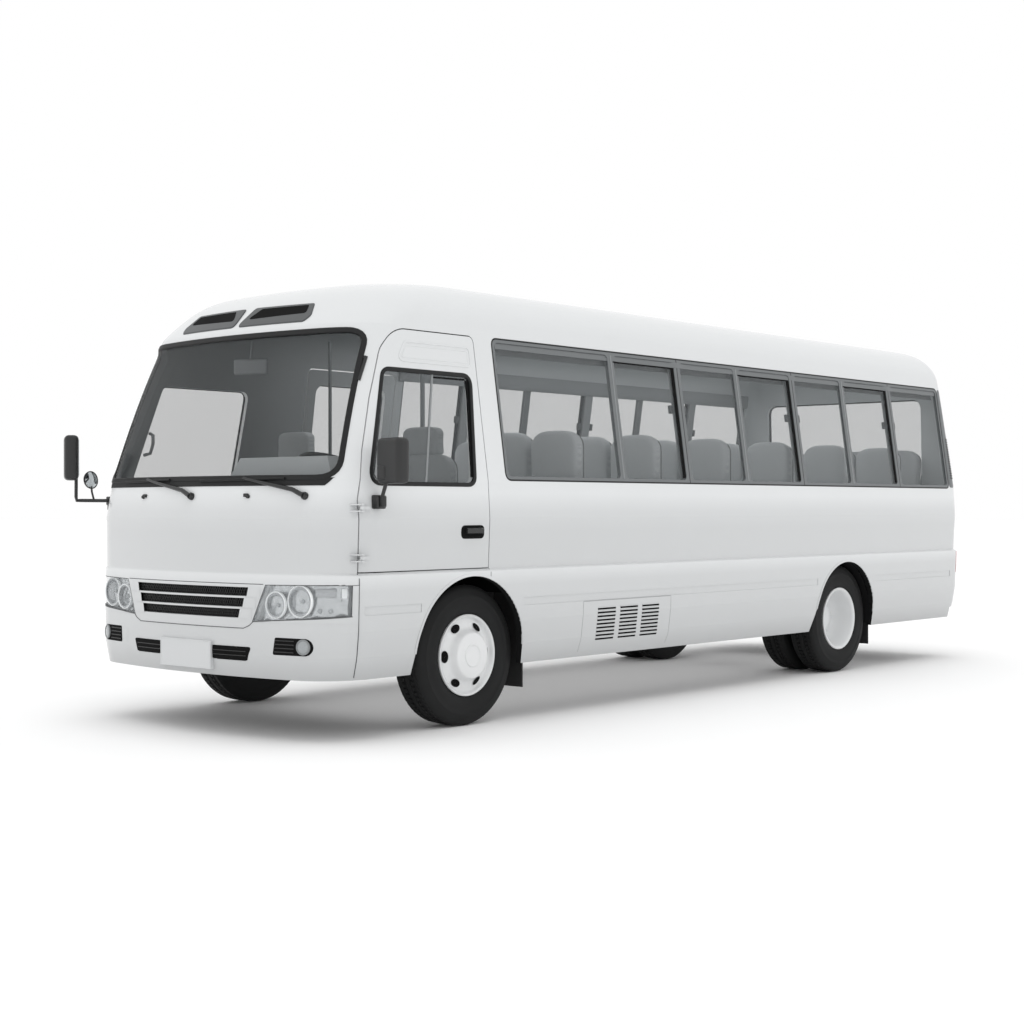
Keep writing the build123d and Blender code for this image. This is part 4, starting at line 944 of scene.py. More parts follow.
@dataclass
class NoseTrim:
    """Lamps, grille, intakes, vents and wipers of the front end."""

    lamp_focus: Flat = (0.55, -2.75)
    lamp_end: Flat = (1.028, -3.160)
    lamp_low_x: float = 0.490
    lamp_top_x: float = 0.574
    lamp_z: Flat = (0.604, 0.792)
    lamp_rise: float = 0.036
    lamp_tail: float = 0.93
    lamp_depth: float = 0.034
    bowls: tuple[Point, ...] = ((0.632, 0.690, 0.062), (0.782, 0.712, 0.074))
    slots: tuple[Flat, ...] = ((0.618, 0.664), (0.674, 0.720), (0.730, 0.774))
    grille_low_x: float = 0.446
    grille_top_x: float = 0.524
    fog: Span = (0.560, 0.900, 0.440, 0.520)
    pill: Span = (0.628, 0.866, 0.440, 0.528)
    fog_lamp: Point = (0.815, 0.485, 0.035)
    intake: tuple[Flat, ...] = ((0.206, 0.402), (0.458, 0.402), (0.484, 0.472), (0.206, 0.472))
    cheek: Flat = (0.046, 0.012)
    plate: Point = (0.204, 0.348, 0.490)
    lamp_rows: int = 12
    lamp_steps: int = 32
    indicator: Flat = (0.915, 0.755)
    side_lamp: Flat = (0.985, 0.752)
    parking_bulbs: tuple[Flat, ...] = ((0.885, 0.665), (0.935, 0.665))
    grille_steps: int = 40
    grille_wires: int = 60
    fog_fins: int = 4
    intake_fins: int = 2
    intake_fin_x: Flat = (0.215, 0.452)
    vent_cover: tuple[Flat, ...] = ((0.010, 2.152), (0.505, 2.152), (0.525, 2.185), (0.475, 2.262),
                                    (0.040, 2.266))
    vent_mouth: tuple[Flat, ...] = ((0.055, 2.190), (0.480, 2.200), (0.452, 2.250), (0.110, 2.252))
    wiper_runs: tuple[Span, ...] = ((0.800, 0.400, 0.070, 0.670), (0.010, -0.400, -0.650, -0.190))
    pivot_z: float = 1.240
    blade_z: float = 1.320
    jets: Flat = (0.423, 1.244)

    def build(self) -> None:
        """Build the front end's trim."""
        self.skin = Skin("front_shell", "front_bumper", "front_lamps", "grille", "windscreen")
        self.headlamps()
        self.grille()
        self.bumper_openings()
        self.roof_vents()
        self.wipers()
        self.small_parts()

    def lamp_edge(self, z: float) -> float:
        """Give the inner edge of a headlamp at a height."""
        z0, z1 = self.lamp_z
        return self.lamp_low_x + (self.lamp_top_x - self.lamp_low_x) * (z - z0) / (z1 - z0)

    def lamp_spot(self, s: int, t: float, z: float) -> Spot:
        """Find a point of a headlamp's face, which runs round the corner.

        Args:
            s: Side of the bus as a sign along X.
            t: Share of the way from the inner to the outer edge.
            z: Height.

        Returns:
            The point and its outward normal.
        """
        cx, cy = self.lamp_focus
        inner = self.lamp_edge(z) + 0.003
        first = math.atan2(inner - cx, cy - self.skin.front(Vector((s * inner, z)))[0].y)
        last = math.atan2(self.lamp_end[0] - cx, cy - self.lamp_end[1])
        angle = first + (last - first) * t
        way = Vector((-s * math.sin(angle), math.cos(angle), 0.0))
        return self.skin.hit(Vector((s * cx, cy, z)) - way * 2.0, way)

    def headlamps(self) -> None:
        """Build each lamp as a clear cover over a silver tray with bowls."""
        cover, tray, bowls, bulbs, rings = Shape(), Shape(), Shape(), Shape(), Shape()
        filler, seam = Shape(), Shape()
        z0, z1 = self.lamp_z
        columns = range(self.lamp_steps + 1)
        shares = [i / self.lamp_steps for i in columns]
        for s in (1, -1):
            front, back = [], []
            for j in range(self.lamp_rows + 1):
                z = z0 + (z1 - z0) * j / self.lamp_rows
                row = [self.lamp_spot(s, t, z) for t in shares]
                front.append([p - n * 0.0005 for p, n in row])
                flute = [1 + 0.10 * math.sin(i * 1.9) + 0.06 * math.sin(i * 0.7 + j) for i in columns]
                back.append([p - n * self.lamp_depth * f for (p, n), f in zip(row, flute)])
            below = [self.lamp_spot(s, t, z0 - 0.003) for t in shares]
            rise = self.lamp_rise
            brim = [self.lamp_spot(s, t, z0 + rise * t) for t in shares]
            filler.grid([[p + n * 0.0012 for p, n in below], [p + n * 0.0014 for p, n in brim]])
            tail = [self.lamp_tail, (1 + self.lamp_tail) / 2, 1.0]
            ends = [[self.lamp_spot(s, t, z0 + (z1 - z0) * j / 6) for t in tail] for j in range(1, 7)]
            filler.grid([[p + n * 0.0012 for p, n in row] for row in ends])
            seam.strip(brim[:-2], 0.005, 0.0022, False)
            heights = [z0 + rise + (z1 - z0 - rise) * j / 8 for j in range(9)]
            seam.strip([self.lamp_spot(s, self.lamp_tail, z) for z in heights], 0.004, 0.0022, False)
            cover.grid(front)
            pairs = [list(zip(face, deep)) for face, deep in zip(front, back)]
            cover.grid([[q - (q - b).normalized() * 0.003 for q, b in pair] for pair in pairs])
            tray.grid(back)
            for edge in (0, -1):
                tray.grid([[r[edge] for r in front], [r[edge] for r in back]])
            tray.grid([front[0], back[0]])
            tray.grid([front[-1], back[-1]])
            for x, z, r in self.bowls:
                p, n = self.skin.front(Vector((s * x, z)))
                way = (n + Vector((0.0, -1.0, 0.0))).normalized()
                place = facing(p - way * 0.012, way)
                bowls.lathe([(r, 0.0), (r - 0.008, 0.002), (r - 0.010, -0.006), (r * 0.80, -0.020),
                             (r * 0.55, -0.034), (r * 0.2, -0.040), (0.001, -0.041)], place, 40)
                bulbs.lathe([(0.001, -0.010), (0.010, -0.013), (0.012, -0.020), (0.011, -0.036)], place, 20)
                rings.lathe([(r + 0.001, 0.001), (r + 0.003, 0.005), (r + 0.007, 0.005), (r + 0.009, 0.0),
                             (r + 0.008, -0.010)], place, 40)
            p, n = self.skin.front(Vector((s * self.indicator[0], self.indicator[1])))
            bowls.box((0.105, 0.044, 0.014), facing(p - n * 0.028, n), 0.006)
            p, n = self.skin.front(Vector((s * self.side_lamp[0], self.side_lamp[1])))
            rings.box((0.030, 0.050, 0.014), facing(p - n * 0.026, n), 0.005)
            for x, z in self.parking_bulbs:
                p, n = self.skin.front(Vector((s * x, z)))
                bulbs.lathe([(0.001, 0.0), (0.010, -0.002), (0.013, -0.010), (0.013, -0.03)],
                            facing(p - n * 0.022, n), 16)
        piece = cover.make("headlamp_covers", LENS)
        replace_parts(piece, "front_lamps")
        tray.make("headlamp_trays", REFLECTOR)
        bowls.make("headlamp_bowls", CHROME)
        bulbs.make("headlamp_bulbs", FOG_GLASS)
        # The rings are real bezels, coloured near white as a painted highlight.
        rings.make("headlamp_rings", PAINTED_RING_HIGHLIGHT)
        filler.make("headlamp_fillers", PAINT)
        seam.make("headlamp_seams", SEAM)

    def grille(self) -> None:
        """Lay a black mesh in the grille's three openings, over a dark backing sheet that is painted shade.
        """
        backs, wires, cheeks = Shape(), Shape(), Shape()
        z_low, z_high = self.slots[0][0], self.slots[-1][1]
        for z0, z1 in self.slots:
            t = ((z0 + z1) / 2 - z_low) / (z_high - z_low)
            half = self.grille_low_x + (self.grille_top_x - self.grille_low_x) * t - 0.006
            rows = []
            for z in (z0 + 0.001, z1 - 0.001):
                xs = [-half + 2 * half * i / self.grille_steps for i in range(self.grille_steps + 1)]
                rows.append([self.skin.front(Vector((x, z)))[0] + Vector((0.0, -0.001, 0.0)) for x in xs])
            backs.grid(rows)
            mid = [a.lerp(b, 0.5) for a, b in zip(*rows)]
            for i in range(self.grille_wires):
                x = -half + 2 * half * (i + 0.5) / self.grille_wires
                k = min(int((x + half) / (2 * half) * self.grille_steps), self.grille_steps)
                y = mid[k].y - 0.006
                for lean in (1, -1):
                    a = Vector((x - lean * 0.011, y, z0 + 0.001))
                    b = Vector((x + lean * 0.011, y, z1 - 0.001))
                    wires.tube([a, b], 0.0016, 5)
            for s in (1, -1):
                rows = []
                for z in (z0 - 0.003, z1 + 0.003):
                    span = [half + 0.032 - (self.cheek[0] + 0.032) * k / 4 for k in range(5)]
                    lean = self.cheek[1] * (1 if z < z1 else 0)
                    spots = [self.skin.front(Vector((s * (x - lean * k / 4), z))) for k, x in enumerate(span)]
                    rows.append([p + Vector((0.0, -0.0014, 0.0)) for p, _ in spots])
                cheeks.grid(rows)
        # The backing is painted shade: a dark sheet where the openings' depth would lie in shadow.
        backs.make("grille_backing", DARK_TRIM_AND_HOLLOW_SHADE)
        wires.make("grille_mesh", BLACK)
        cheeks.make("grille_cheeks", PAINT)

    def bridged(self, p: Vector, low: float, high: float) -> Spot:
        """Find the bumper's face over an opening, from the face below and above it.

        Args:
            p: Point (x, z) of the front view.
            low: Height just below the opening.
            high: Height just above it.

        Returns:
            The point and its outward normal.
        """
        share = min(max((p[1] - low) / (high - low), 0.0), 1.0)
        a, n = self.skin.front(Vector((p[0], low)))
        b, m = self.skin.front(Vector((p[0], high)))
        y = a.y + (b.y - a.y) * share
        return Vector((p[0], y, p[1])), n.lerp(m, share).normalized()

    def over_fog(self, p: Vector) -> Spot:
        """Find the bumper's face over a fog lamp pocket."""
        return self.bridged(p, self.fog[2] - 0.010, self.fog[3] + 0.010)

    def over_intake(self, p: Vector) -> Spot:
        """Find the bumper's face over an air intake."""
        return self.bridged(p, self.intake[0][1] - 0.012, self.intake[2][1] + 0.010)

    def bumper_openings(self) -> None:
        """Line the bumper's fog lamp pockets and air intakes, with dark slabs that are painted shade for
        their recesses.
        """
        pockets, fins, lamps, rings, bezels = Shape(), Shape(), Shape(), Shape(), Shape()
        x0, x1, z0, z1 = self.fog
        a0, a1, b0, b1 = self.pill
        for s in (1, -1):
            over = panel(oblong(s * x0, s * x1, z0, z1), 0.036)
            bezels.slab(grown(over, 0.003), self.over_fog, 0.0005, 0.001)
            reach = (b1 - b0) / 2
            span = [math.radians(a) for a in range(-80, 81, 20)]
            bend = [(s * (a1 - reach + reach * math.cos(a)), b0 + reach + reach * math.sin(a)) for a in span]
            pill = rounded([(s * a0, b0), *bend, (s * (a0 + 0.012), b1)], 0.012)
            pockets.slab(spaced(pill, 0.02), self.over_fog, 0.0015, 0.001)
            for k in range(self.fog_fins):
                z = b0 + 0.016 + 0.019 * k
                run = line((s * (a0 + 0.014), z), (s * (a1 - 0.105), z))
                fins.trace(self.over_fog, run, 0.006, 0.004, False)
            x, z, r = self.fog_lamp
            p, n = self.over_fog(Vector((s * x, z)))
            place = facing(p + n * 0.001, n)
            lamps.lathe([(r * 0.96, -0.004), (r * 0.94, 0.003), (r * 0.7, 0.006), (r * 0.3, 0.008),
                         (0.0005, 0.0085)], place, 32)
            rings.lathe([(r + 0.005, -0.004), (r + 0.005, 0.004), (r + 0.002, 0.007), (r - 0.003, 0.005),
                         (r - 0.004, -0.004)], place, 32)
            mouth = panel([(s * x, z) for x, z in self.intake], 0.012)
            pockets.slab(mouth, self.over_intake, 0.005, 0.001)
            for k in range(self.intake_fins):
                z = self.intake[0][1] + 0.024 + 0.022 * k
                run = line(*((s * v, z) for v in self.intake_fin_x))
                fins.trace(self.over_intake, run, 0.005, 0.007, False)
        bezels.make("fog_bezels", PAINT)
        # The pockets are painted shade: dark slabs laid over the bumper where the fog lamp pockets and
        # intakes are recessed.
        pockets.make("bumper_pockets", DARK_TRIM_AND_HOLLOW_SHADE)
        fins.make("bumper_fins", BLACK)
        lamps.make("fog_lenses", FOG_GLASS)
        rings.make("fog_rings", RAIL_GREY)
        dress("number_plates", PLATE)
        border = Shape()
        half, low, high = self.plate
        plates = Skin("number_plates")
        edge = panel(oblong(-half, half, low, high), 0.012, 0.03)
        border.trace(plates.front, edge, 0.004, 0.0015, sunk=0.001)
        border.make("plate_border", PLATE)

    def roof_vents(self) -> None:
        """Lay two rounded vent covers over the screen, with mouths coloured dark as painted shade."""
        roof = Skin("roof")
        covers, mouths = Shape(), Shape()
        for s in (1, -1):
            cover, mouth = ([(s * x, z) for x, z in edge] for edge in (self.vent_cover, self.vent_mouth))
            covers.slab(panel(cover, 0.026), roof.front, 0.006, 0.003, 0.004)
            mouths.slab(panel(mouth, 0.014), roof.front, 0.0075, 0.002)
        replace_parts(covers.make("roof_vent_covers", VENT_GREY), "roof_vents")
        # The mouths are painted shade: dark patches for the vents' shadowed openings.
        mouths.make("roof_vent_mouths", DARK_TRIM_AND_HOLLOW_SHADE)

    def wipers(self) -> None:
        """Build the two wipers with their arms, blades and pivot caps."""
        arms, blades = Shape(), Shape()
        for px, reach, x0, x1 in self.wiper_runs:
            p, n = self.skin.front(Vector((px, self.pivot_z)))
            arms.lathe([(0.020, -0.002), (0.020, 0.010), (0.015, 0.020), (0.001, 0.022)], facing(p, n), 20)
            run = [(px, self.pivot_z), (px - 0.07, self.pivot_z + 0.030), (reach, self.blade_z + 0.010)]
            spots = [self.skin.front(q) for q in line(*run)]
            path = [p + n * 0.018 for p, n in spots]
            taper = [0.013 - 0.007 * i / (len(path) - 1) for i in range(len(path))]
            arms.tube(path, taper, 10)
            spots = [self.skin.front(q) for q in line((x0, self.blade_z), (x1, self.blade_z + 0.006))]
            half = [(0.006, 0.0), (0.007, 0.008), (0.003, 0.014)]
            section = [(-a, b) for a, b in half] + half[::-1]
            blades.sweep([(p + n * 0.003, n) for p, n in spots], section, False)
        piece = arms.make("wiper_arms", SATIN_BLACK)
        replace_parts(piece, "wipers")
        blades.make("wiper_blades", RUBBER)

    def small_parts(self) -> None:
        """Add the washer jets and the pillar drip strips."""
        jets = Shape()
        for s in (1, -1):
            p, n = self.skin.front(Vector((s * self.jets[0], self.jets[1])))
            jets.box((0.030, 0.018, 0.016), facing(p + n * 0.004, n), 0.005)
            jets.lathe([(0.010, -0.002), (0.010, 0.010), (0.006, 0.014), (0.001, 0.0145)],
                       facing(p + Vector((s * 0.014, 0.0, -0.006)), n), 14)
        jets.make("washer_jets", BLACK)
        strips = Shape()
        shell = Skin("front_shell", "roof")
        for side in Side:
            run = line((-3.039, 1.830), (-2.979, 1.955), step=0.02)
            strips.trace(shell.view(side), run, 0.020, 0.008, False)
        strips.make("pillar_strips", BLACK)


@dataclass
class SideTrim:
    """Louvres, handles and pressings of the two sides."""

    vent_panel: Span = (-1.380, -0.515, 0.345, 0.638)
    louvre: Span = (-1.244, -0.638, 0.400, 0.600)
    columns: int = 3
    rows: int = 9
    handle: Point = (-2.419, -2.236, 1.051)
    brow: tuple[Flat, ...] = ((-2.800, 1.945), (-2.235, 1.945), (-2.235, 2.050), (-2.730, 2.050))
    corner_panel: tuple[Flat, ...] = ((3.262, 1.336), (3.345, 1.336), (3.352, 1.70), (3.310, 2.112),
                                      (3.262, 2.112))
    slat_y: Flat = (3.300, 3.340)
    slat_z: Flat = (1.412, 1.716)
    slats: int = 17
    entry_handle: Flat = (-1.045, 0.93)

    def build(self) -> None:
        """Build the side trim."""
        self.louvres()
        self.handles()
        self.door_brow()
        self.corner_vents()
        dress("mud_flaps", FLAP)

    def louvres(self) -> None:
        """Press the vent panel's louvres into the left side."""
        skin = Skin("left_side")
        edge, slots, hoods = Shape(), Shape(), Shape()
        y0, y1, z0, z1 = self.vent_panel
        path = line((y0 - 0.012, z0), (y0, z0 + 0.07), (y0, z1), (y1, z1), (y1, z0 + 0.05), (y1 - 0.02, z0))
        edge.trace(skin.left, path, 0.005, 0.0006, False)
        edge.make("vent_panel_seam", SOFT_SEAM)
        a0, a1, b0, b1 = self.louvre
        pitch = (a1 - a0 + 0.045) / self.columns
        step = (b1 - b0) / self.rows
        for c in range(self.columns):
            for r in range(self.rows):
                y, z = a0 + c * pitch, b0 + (r + 0.5) * step
                spots = [skin.left(p) for p in line((y, z), (y + pitch - 0.045, z), step=0.04)]
                slots.strip(spots, 0.012, 0.0008, False)
                raised = [(p + Vector((0.0, 0.0, 0.0075)), n) for p, n in spots]
                hoods.strip(raised, 0.006, 0.004, False)
        # The slots are painted shade: dark strips where the louvres' openings under the hoods would lie in
        # shadow.
        slots.make("vent_panel_slots", DARK_TRIM_AND_HOLLOW_SHADE)
        hoods.make("vent_panel_hoods", PAINT)

    def handles(self) -> None:
        """Set a pull handle in a cup in each door; the cup is coloured dark as painted shade of the recess.
        """
        cups, pulls = Shape(), Shape()
        y0, y1, z = self.handle
        door = Skin("driver_door")
        cup = panel(oblong(y0, y1, z - 0.036, z + 0.036), 0.030)
        cups.slab(cup, door.left, 0.003, 0.003, 0.004)
        run = line((y0 + 0.030, z + 0.006), (y1 - 0.022, z + 0.006), step=0.02)
        pulls.trace(door.left, run, 0.034, 0.020, False)
        # The cup is painted shade: a dark slab where the handle's recess lies in shadow.
        cups.make("driver_handle_cup", DARK_TRIM_AND_HOLLOW_SHADE, "driver_door")
        pulls.make("driver_handle", SATIN_BLACK, "driver_door")
        cups, pulls = Shape(), Shape()
        door = Skin("passenger_door")
        y, z = self.entry_handle
        cup = panel(oblong(y - 0.026, y + 0.026, z - 0.09, z + 0.09), 0.022)
        cups.slab(cup, door.right, 0.003, 0.003, 0.004)
        run = line((y, z - 0.065), (y, z + 0.065), step=0.02)
        pulls.trace(door.right, run, 0.024, 0.018, False)
        # The cup is painted shade: a dark slab where the handle's recess lies in shadow.
        cups.make("entry_handle_cup", DARK_TRIM_AND_HOLLOW_SHADE, "passenger_door")
        pulls.make("entry_handle", SATIN_BLACK, "passenger_door")

    def door_brow(self) -> None:
        """Emboss the panel over the driver's window."""
        door = Skin("driver_door")
        brow = Shape()
        outline = panel(self.brow, 0.030)
        brow.trace(door.left, outline, 0.010, 0.003)
        inner = grown(outline, -0.020)
        brow.trace(door.left, inner, 0.006, 0.0015)
        brow.make("driver_door_brow", PAINT, "driver_door")

    def corner_vents(self) -> None:
        """Fit the dark louvred panels at the rear corners."""
        skin = Skin("rear_panel", "left_side", "right_side", "roof")
        panels, slats = Shape(), Shape()
        y0, y1 = self.slat_y
        z0, z1 = self.slat_z
        for side in Side:
            view = skin.view(side)
            panels.slab(panel(self.corner_panel, 0.03, 0.03), view, 0.002, 0.003)
            for k in range(self.slats):
                z = z0 + (z1 - z0) * k / (self.slats - 1)
                slats.trace(view, line((y0, z), (y1, z), step=0.02), 0.009, 0.007, False)
        panels.make("rear_corner_panels", FRAME_GREY)
        slats.make("rear_corner_louvres", DARK_TRIM_AND_HOLLOW_SHADE)


@dataclass
class Mirrors:
    """The door mirror and the mirror on its forward arm."""

    left_head: Point = (1.160, -3.060, 1.415)
    left_size: Point = (0.190, 0.080, 0.230)
    right_head: Point = (-1.195, -3.330, 1.468)
    right_size: Point = (0.170, 0.080, 0.260)
    left_turn: float = -8.0
    right_turn: float = -32.0
    rod: float = 0.010

    def build(self) -> None:
        """Build both mirrors."""
        self.left()
        self.right()

    def _head(self, name: str, place: Matrix, size: Sequence[float], body: str) -> bpy.types.Object:
        """Build a mirror head with its glass.

        Args:
            name: The piece's name.
            place: Middle of the head.
            size: Its three sizes.
            body: The body that it rides on.

        Returns:
            The housing.
        """
        shell, glass = Shape(), Shape()
        shell.box(size, place, 0.032, 5)
        glass.box((size[0] - 0.05, 0.006, size[2] - 0.05), place @ at(0.0, size[1] / 2, 0.0), 0.0025, 2)
        housing = shell.make(name + "_housing", BLACK, body)
        glass.make(name + "_glass", MIRROR, body)
        return housing

    def left(self) -> None:
        """Build the mirror on the driver's door."""
        x, y, z = self.left_head
        place = at(x, y, z) @ Matrix.Rotation(math.radians(self.left_turn), 4, "Z")
        housing = self._head("left_mirror", place, self.left_size, "driver_door")
        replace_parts(housing, "left_mirror")
        skin = Skin("driver_door")
        foot, _ = skin.left(Vector((-3.045, 1.215)))
        arm = Shape()
        top = Vector((x - 0.045, y, z - 0.105))
        bend = Vector((foot.x + 0.058, y + 0.004, 1.245))
        path = [foot + Vector((0.040, 0.0, 0.006)), foot + Vector((0.055, -0.003, 0.010)), bend,
                bend.lerp(top, 0.35), bend.lerp(top, 0.7), top, top + Vector((0.0, 0.0, 0.06))]
        arm.tube([Vector(p) for p in path], self.rod, 12)
        arm.box((0.050, 0.062, 0.070), at(foot.x + 0.018, foot.y, 1.210), 0.010)
        arm.box((0.034, 0.030, 0.056), at(foot.x + 0.050, foot.y - 0.004, 1.212), 0.008)
        arm.box((0.06, 0.03, 0.07), at(x - 0.045, y - 0.028, z - 0.06), 0.012)
        arm.make("left_mirror_arm", SATIN_BLACK, "driver_door")

    def right(self) -> None:
        """Build the mirror on the right front corner, with its round wide-angle glass."""
        x, y, z = self.right_head
        place = at(x, y, z) @ Matrix.Rotation(math.radians(self.right_turn), 4, "Z")
        housing = self._head("right_mirror", place, self.right_size, ROOT)
        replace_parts(housing, "right_mirror")
        skin = Skin("front_shell")
        foot, _ = skin.right(Vector((-3.165, 1.215)))
        arm, disc = Shape(), Shape()
        arm.box((0.050, 0.055, 0.080), at(foot.x - 0.012, -3.172, 1.205), 0.008)
        arm.box((0.030, 0.030, 0.050), at(foot.x - 0.040, -3.180, 1.220), 0.008)
        low = Vector((x + 0.055, y, 1.222))
        path = [Vector((foot.x - 0.030, -3.180, 1.222)), Vector((foot.x - 0.048, -3.215, 1.221)),
                low + Vector((0.004, 0.03, 0.0)), low, low + Vector((-0.004, -0.002, 0.02)),
                low + Vector((-0.006, 0.0, 0.10)), low + Vector((-0.006, 0.0, 0.22))]
        arm.tube(path, self.rod, 12)
        eye = Vector((-1.112, -3.255, 1.340))
        arm.tube([Vector((-1.086, -3.25, 1.222)), Vector((-1.100, -3.255, 1.27)), eye], 0.006, 10)
        way = Vector((0.96, 0.1, 0.08))
        arm.lathe([(0.001, -0.020), (0.030, -0.016), (0.050, -0.004), (0.052, 0.004), (0.047, 0.006)],
                  facing(eye, way), 32)
        disc.lathe([(0.047, 0.004), (0.030, 0.010), (0.012, 0.0125), (0.0005, 0.013)], facing(eye, way), 32)
        arm.make("right_mirror_arm", SATIN_BLACK)
        disc.make("wide_angle_mirror", MIRROR)


@dataclass
class Tail:
    """Lamps, bumper trim and handle of the rear."""

    lamp: Span = (0.800, 0.985, 0.640, 1.010)
    side_lens: Span = (3.356, 3.418, 0.668, 0.836)
    bars_z: tuple[float, ...] = (0.735, 0.820, 0.905)
    rounds_z: Flat = (0.690, 0.778)
    round_x: float = 0.875
    reversing_z: Flat = (0.858, 0.898)
    smoked_z: Flat = (0.910, 1.006)

    def build(self) -> None:
        """Build the tail's trim."""
        dress("tail_lamps", RED)
        skin = Skin("tail_lamps", "rear_panel", "rear_bumper")
        bars, rounds, seams, clear, dark = Shape(), Shape(), Shape(), Shape(), Shape()
        x0, x1, z0, z1 = self.lamp
        for s in (1, -1):
            for z in self.bars_z:
                run = line((s * (x0 + 0.006), z), (s * (x1 - 0.012), z), step=0.02)
                bars.trace(skin.rear, run, 0.006, 0.002, False)
            for z in self.rounds_z:
                p, n = skin.rear(Vector((s * self.round_x, z)))
                dome = [(0.036, -0.003), (0.034, 0.002), (0.028, 0.004), (0.001, 0.006)]
                rounds.lathe(dome, facing(p, n), 28)
            for shape, (low, high) in ((clear, self.reversing_z), (dark, self.smoked_z)):
                patch = oblong(s * (x0 + 0.004), s * 0.968, low, high)
                shape.slab(panel(patch, 0.010), skin.rear, 0.0025, 0.002)
            edge = panel(oblong(s * x0, s * 0.975, z0, z1), 0.03)
            seams.trace(skin.rear, edge, 0.006, 0.001)
        run = line((-0.95, 0.599), (0.95, 0.599))
        seams.trace(skin.rear, run, 0.005, 0.001, False)
        corner = Skin("tail_lamps", "rear_panel", "left_side", "right_side")
        y0, y1, low, high = self.side_lens
        for side in Side:
            patch = panel(oblong(y0, y1, low, high), 0.012)
            rounds.slab(patch, corner.view(side), 0.003, 0.002)
        bars.make("tail_lamp_bars", SMOKED)
        rounds.make("tail_lamp_rounds", RED)
        clear.make("tail_reversing_lenses", FOG_GLASS)
        dark.make("tail_indicator_lenses", SMOKED)
        seams.make("tail_seams", SEAM)
        self.rear_fittings(Skin("rear_panel", "rear_bumper", "rear_glass"))

    def rear_fittings(self, skin: Skin) -> None:
        """Add the wiper, the lamp over the plate and the bumper's step pads.

        Args:
            skin: The tail's faces.
        """
        wiper, pads = Shape(), Shape()
        p, n = skin.rear(Vector((0.0, 1.335)))
        wiper.lathe([(0.024, -0.002), (0.022, 0.010), (0.012, 0.016), (0.001, 0.017)], facing(p, n), 20)
        path = [q + m * 0.016 for q, m in (skin.rear(v) for v in line((0.0, 1.338), (-0.25, 1.46)))]
        wiper.tube(path, 0.006, 10)
        run = [skin.rear(v) for v in line((-0.50, 1.455), (-0.02, 1.475))]
        section = [(-0.005, 0.0), (-0.004, 0.010), (0.004, 0.010), (0.005, 0.0)]
        wiper.sweep([(q + m * 0.004, m) for q, m in run], section, False)
        wiper.make("rear_wiper", SATIN_BLACK)
        edge = panel(oblong(-0.62, 0.62, 0.572, 0.592), 0.008, 0.03)
        pads.slab(edge, skin.rear, 0.006, 0.003)
        p, _ = skin.rear(Vector((0.0, 0.575)))
        pads.box((0.16, 0.030, 0.030), at(0.0, p.y + 0.010, 0.582), 0.006)
        pads.make("rear_step_pad", BLACK)


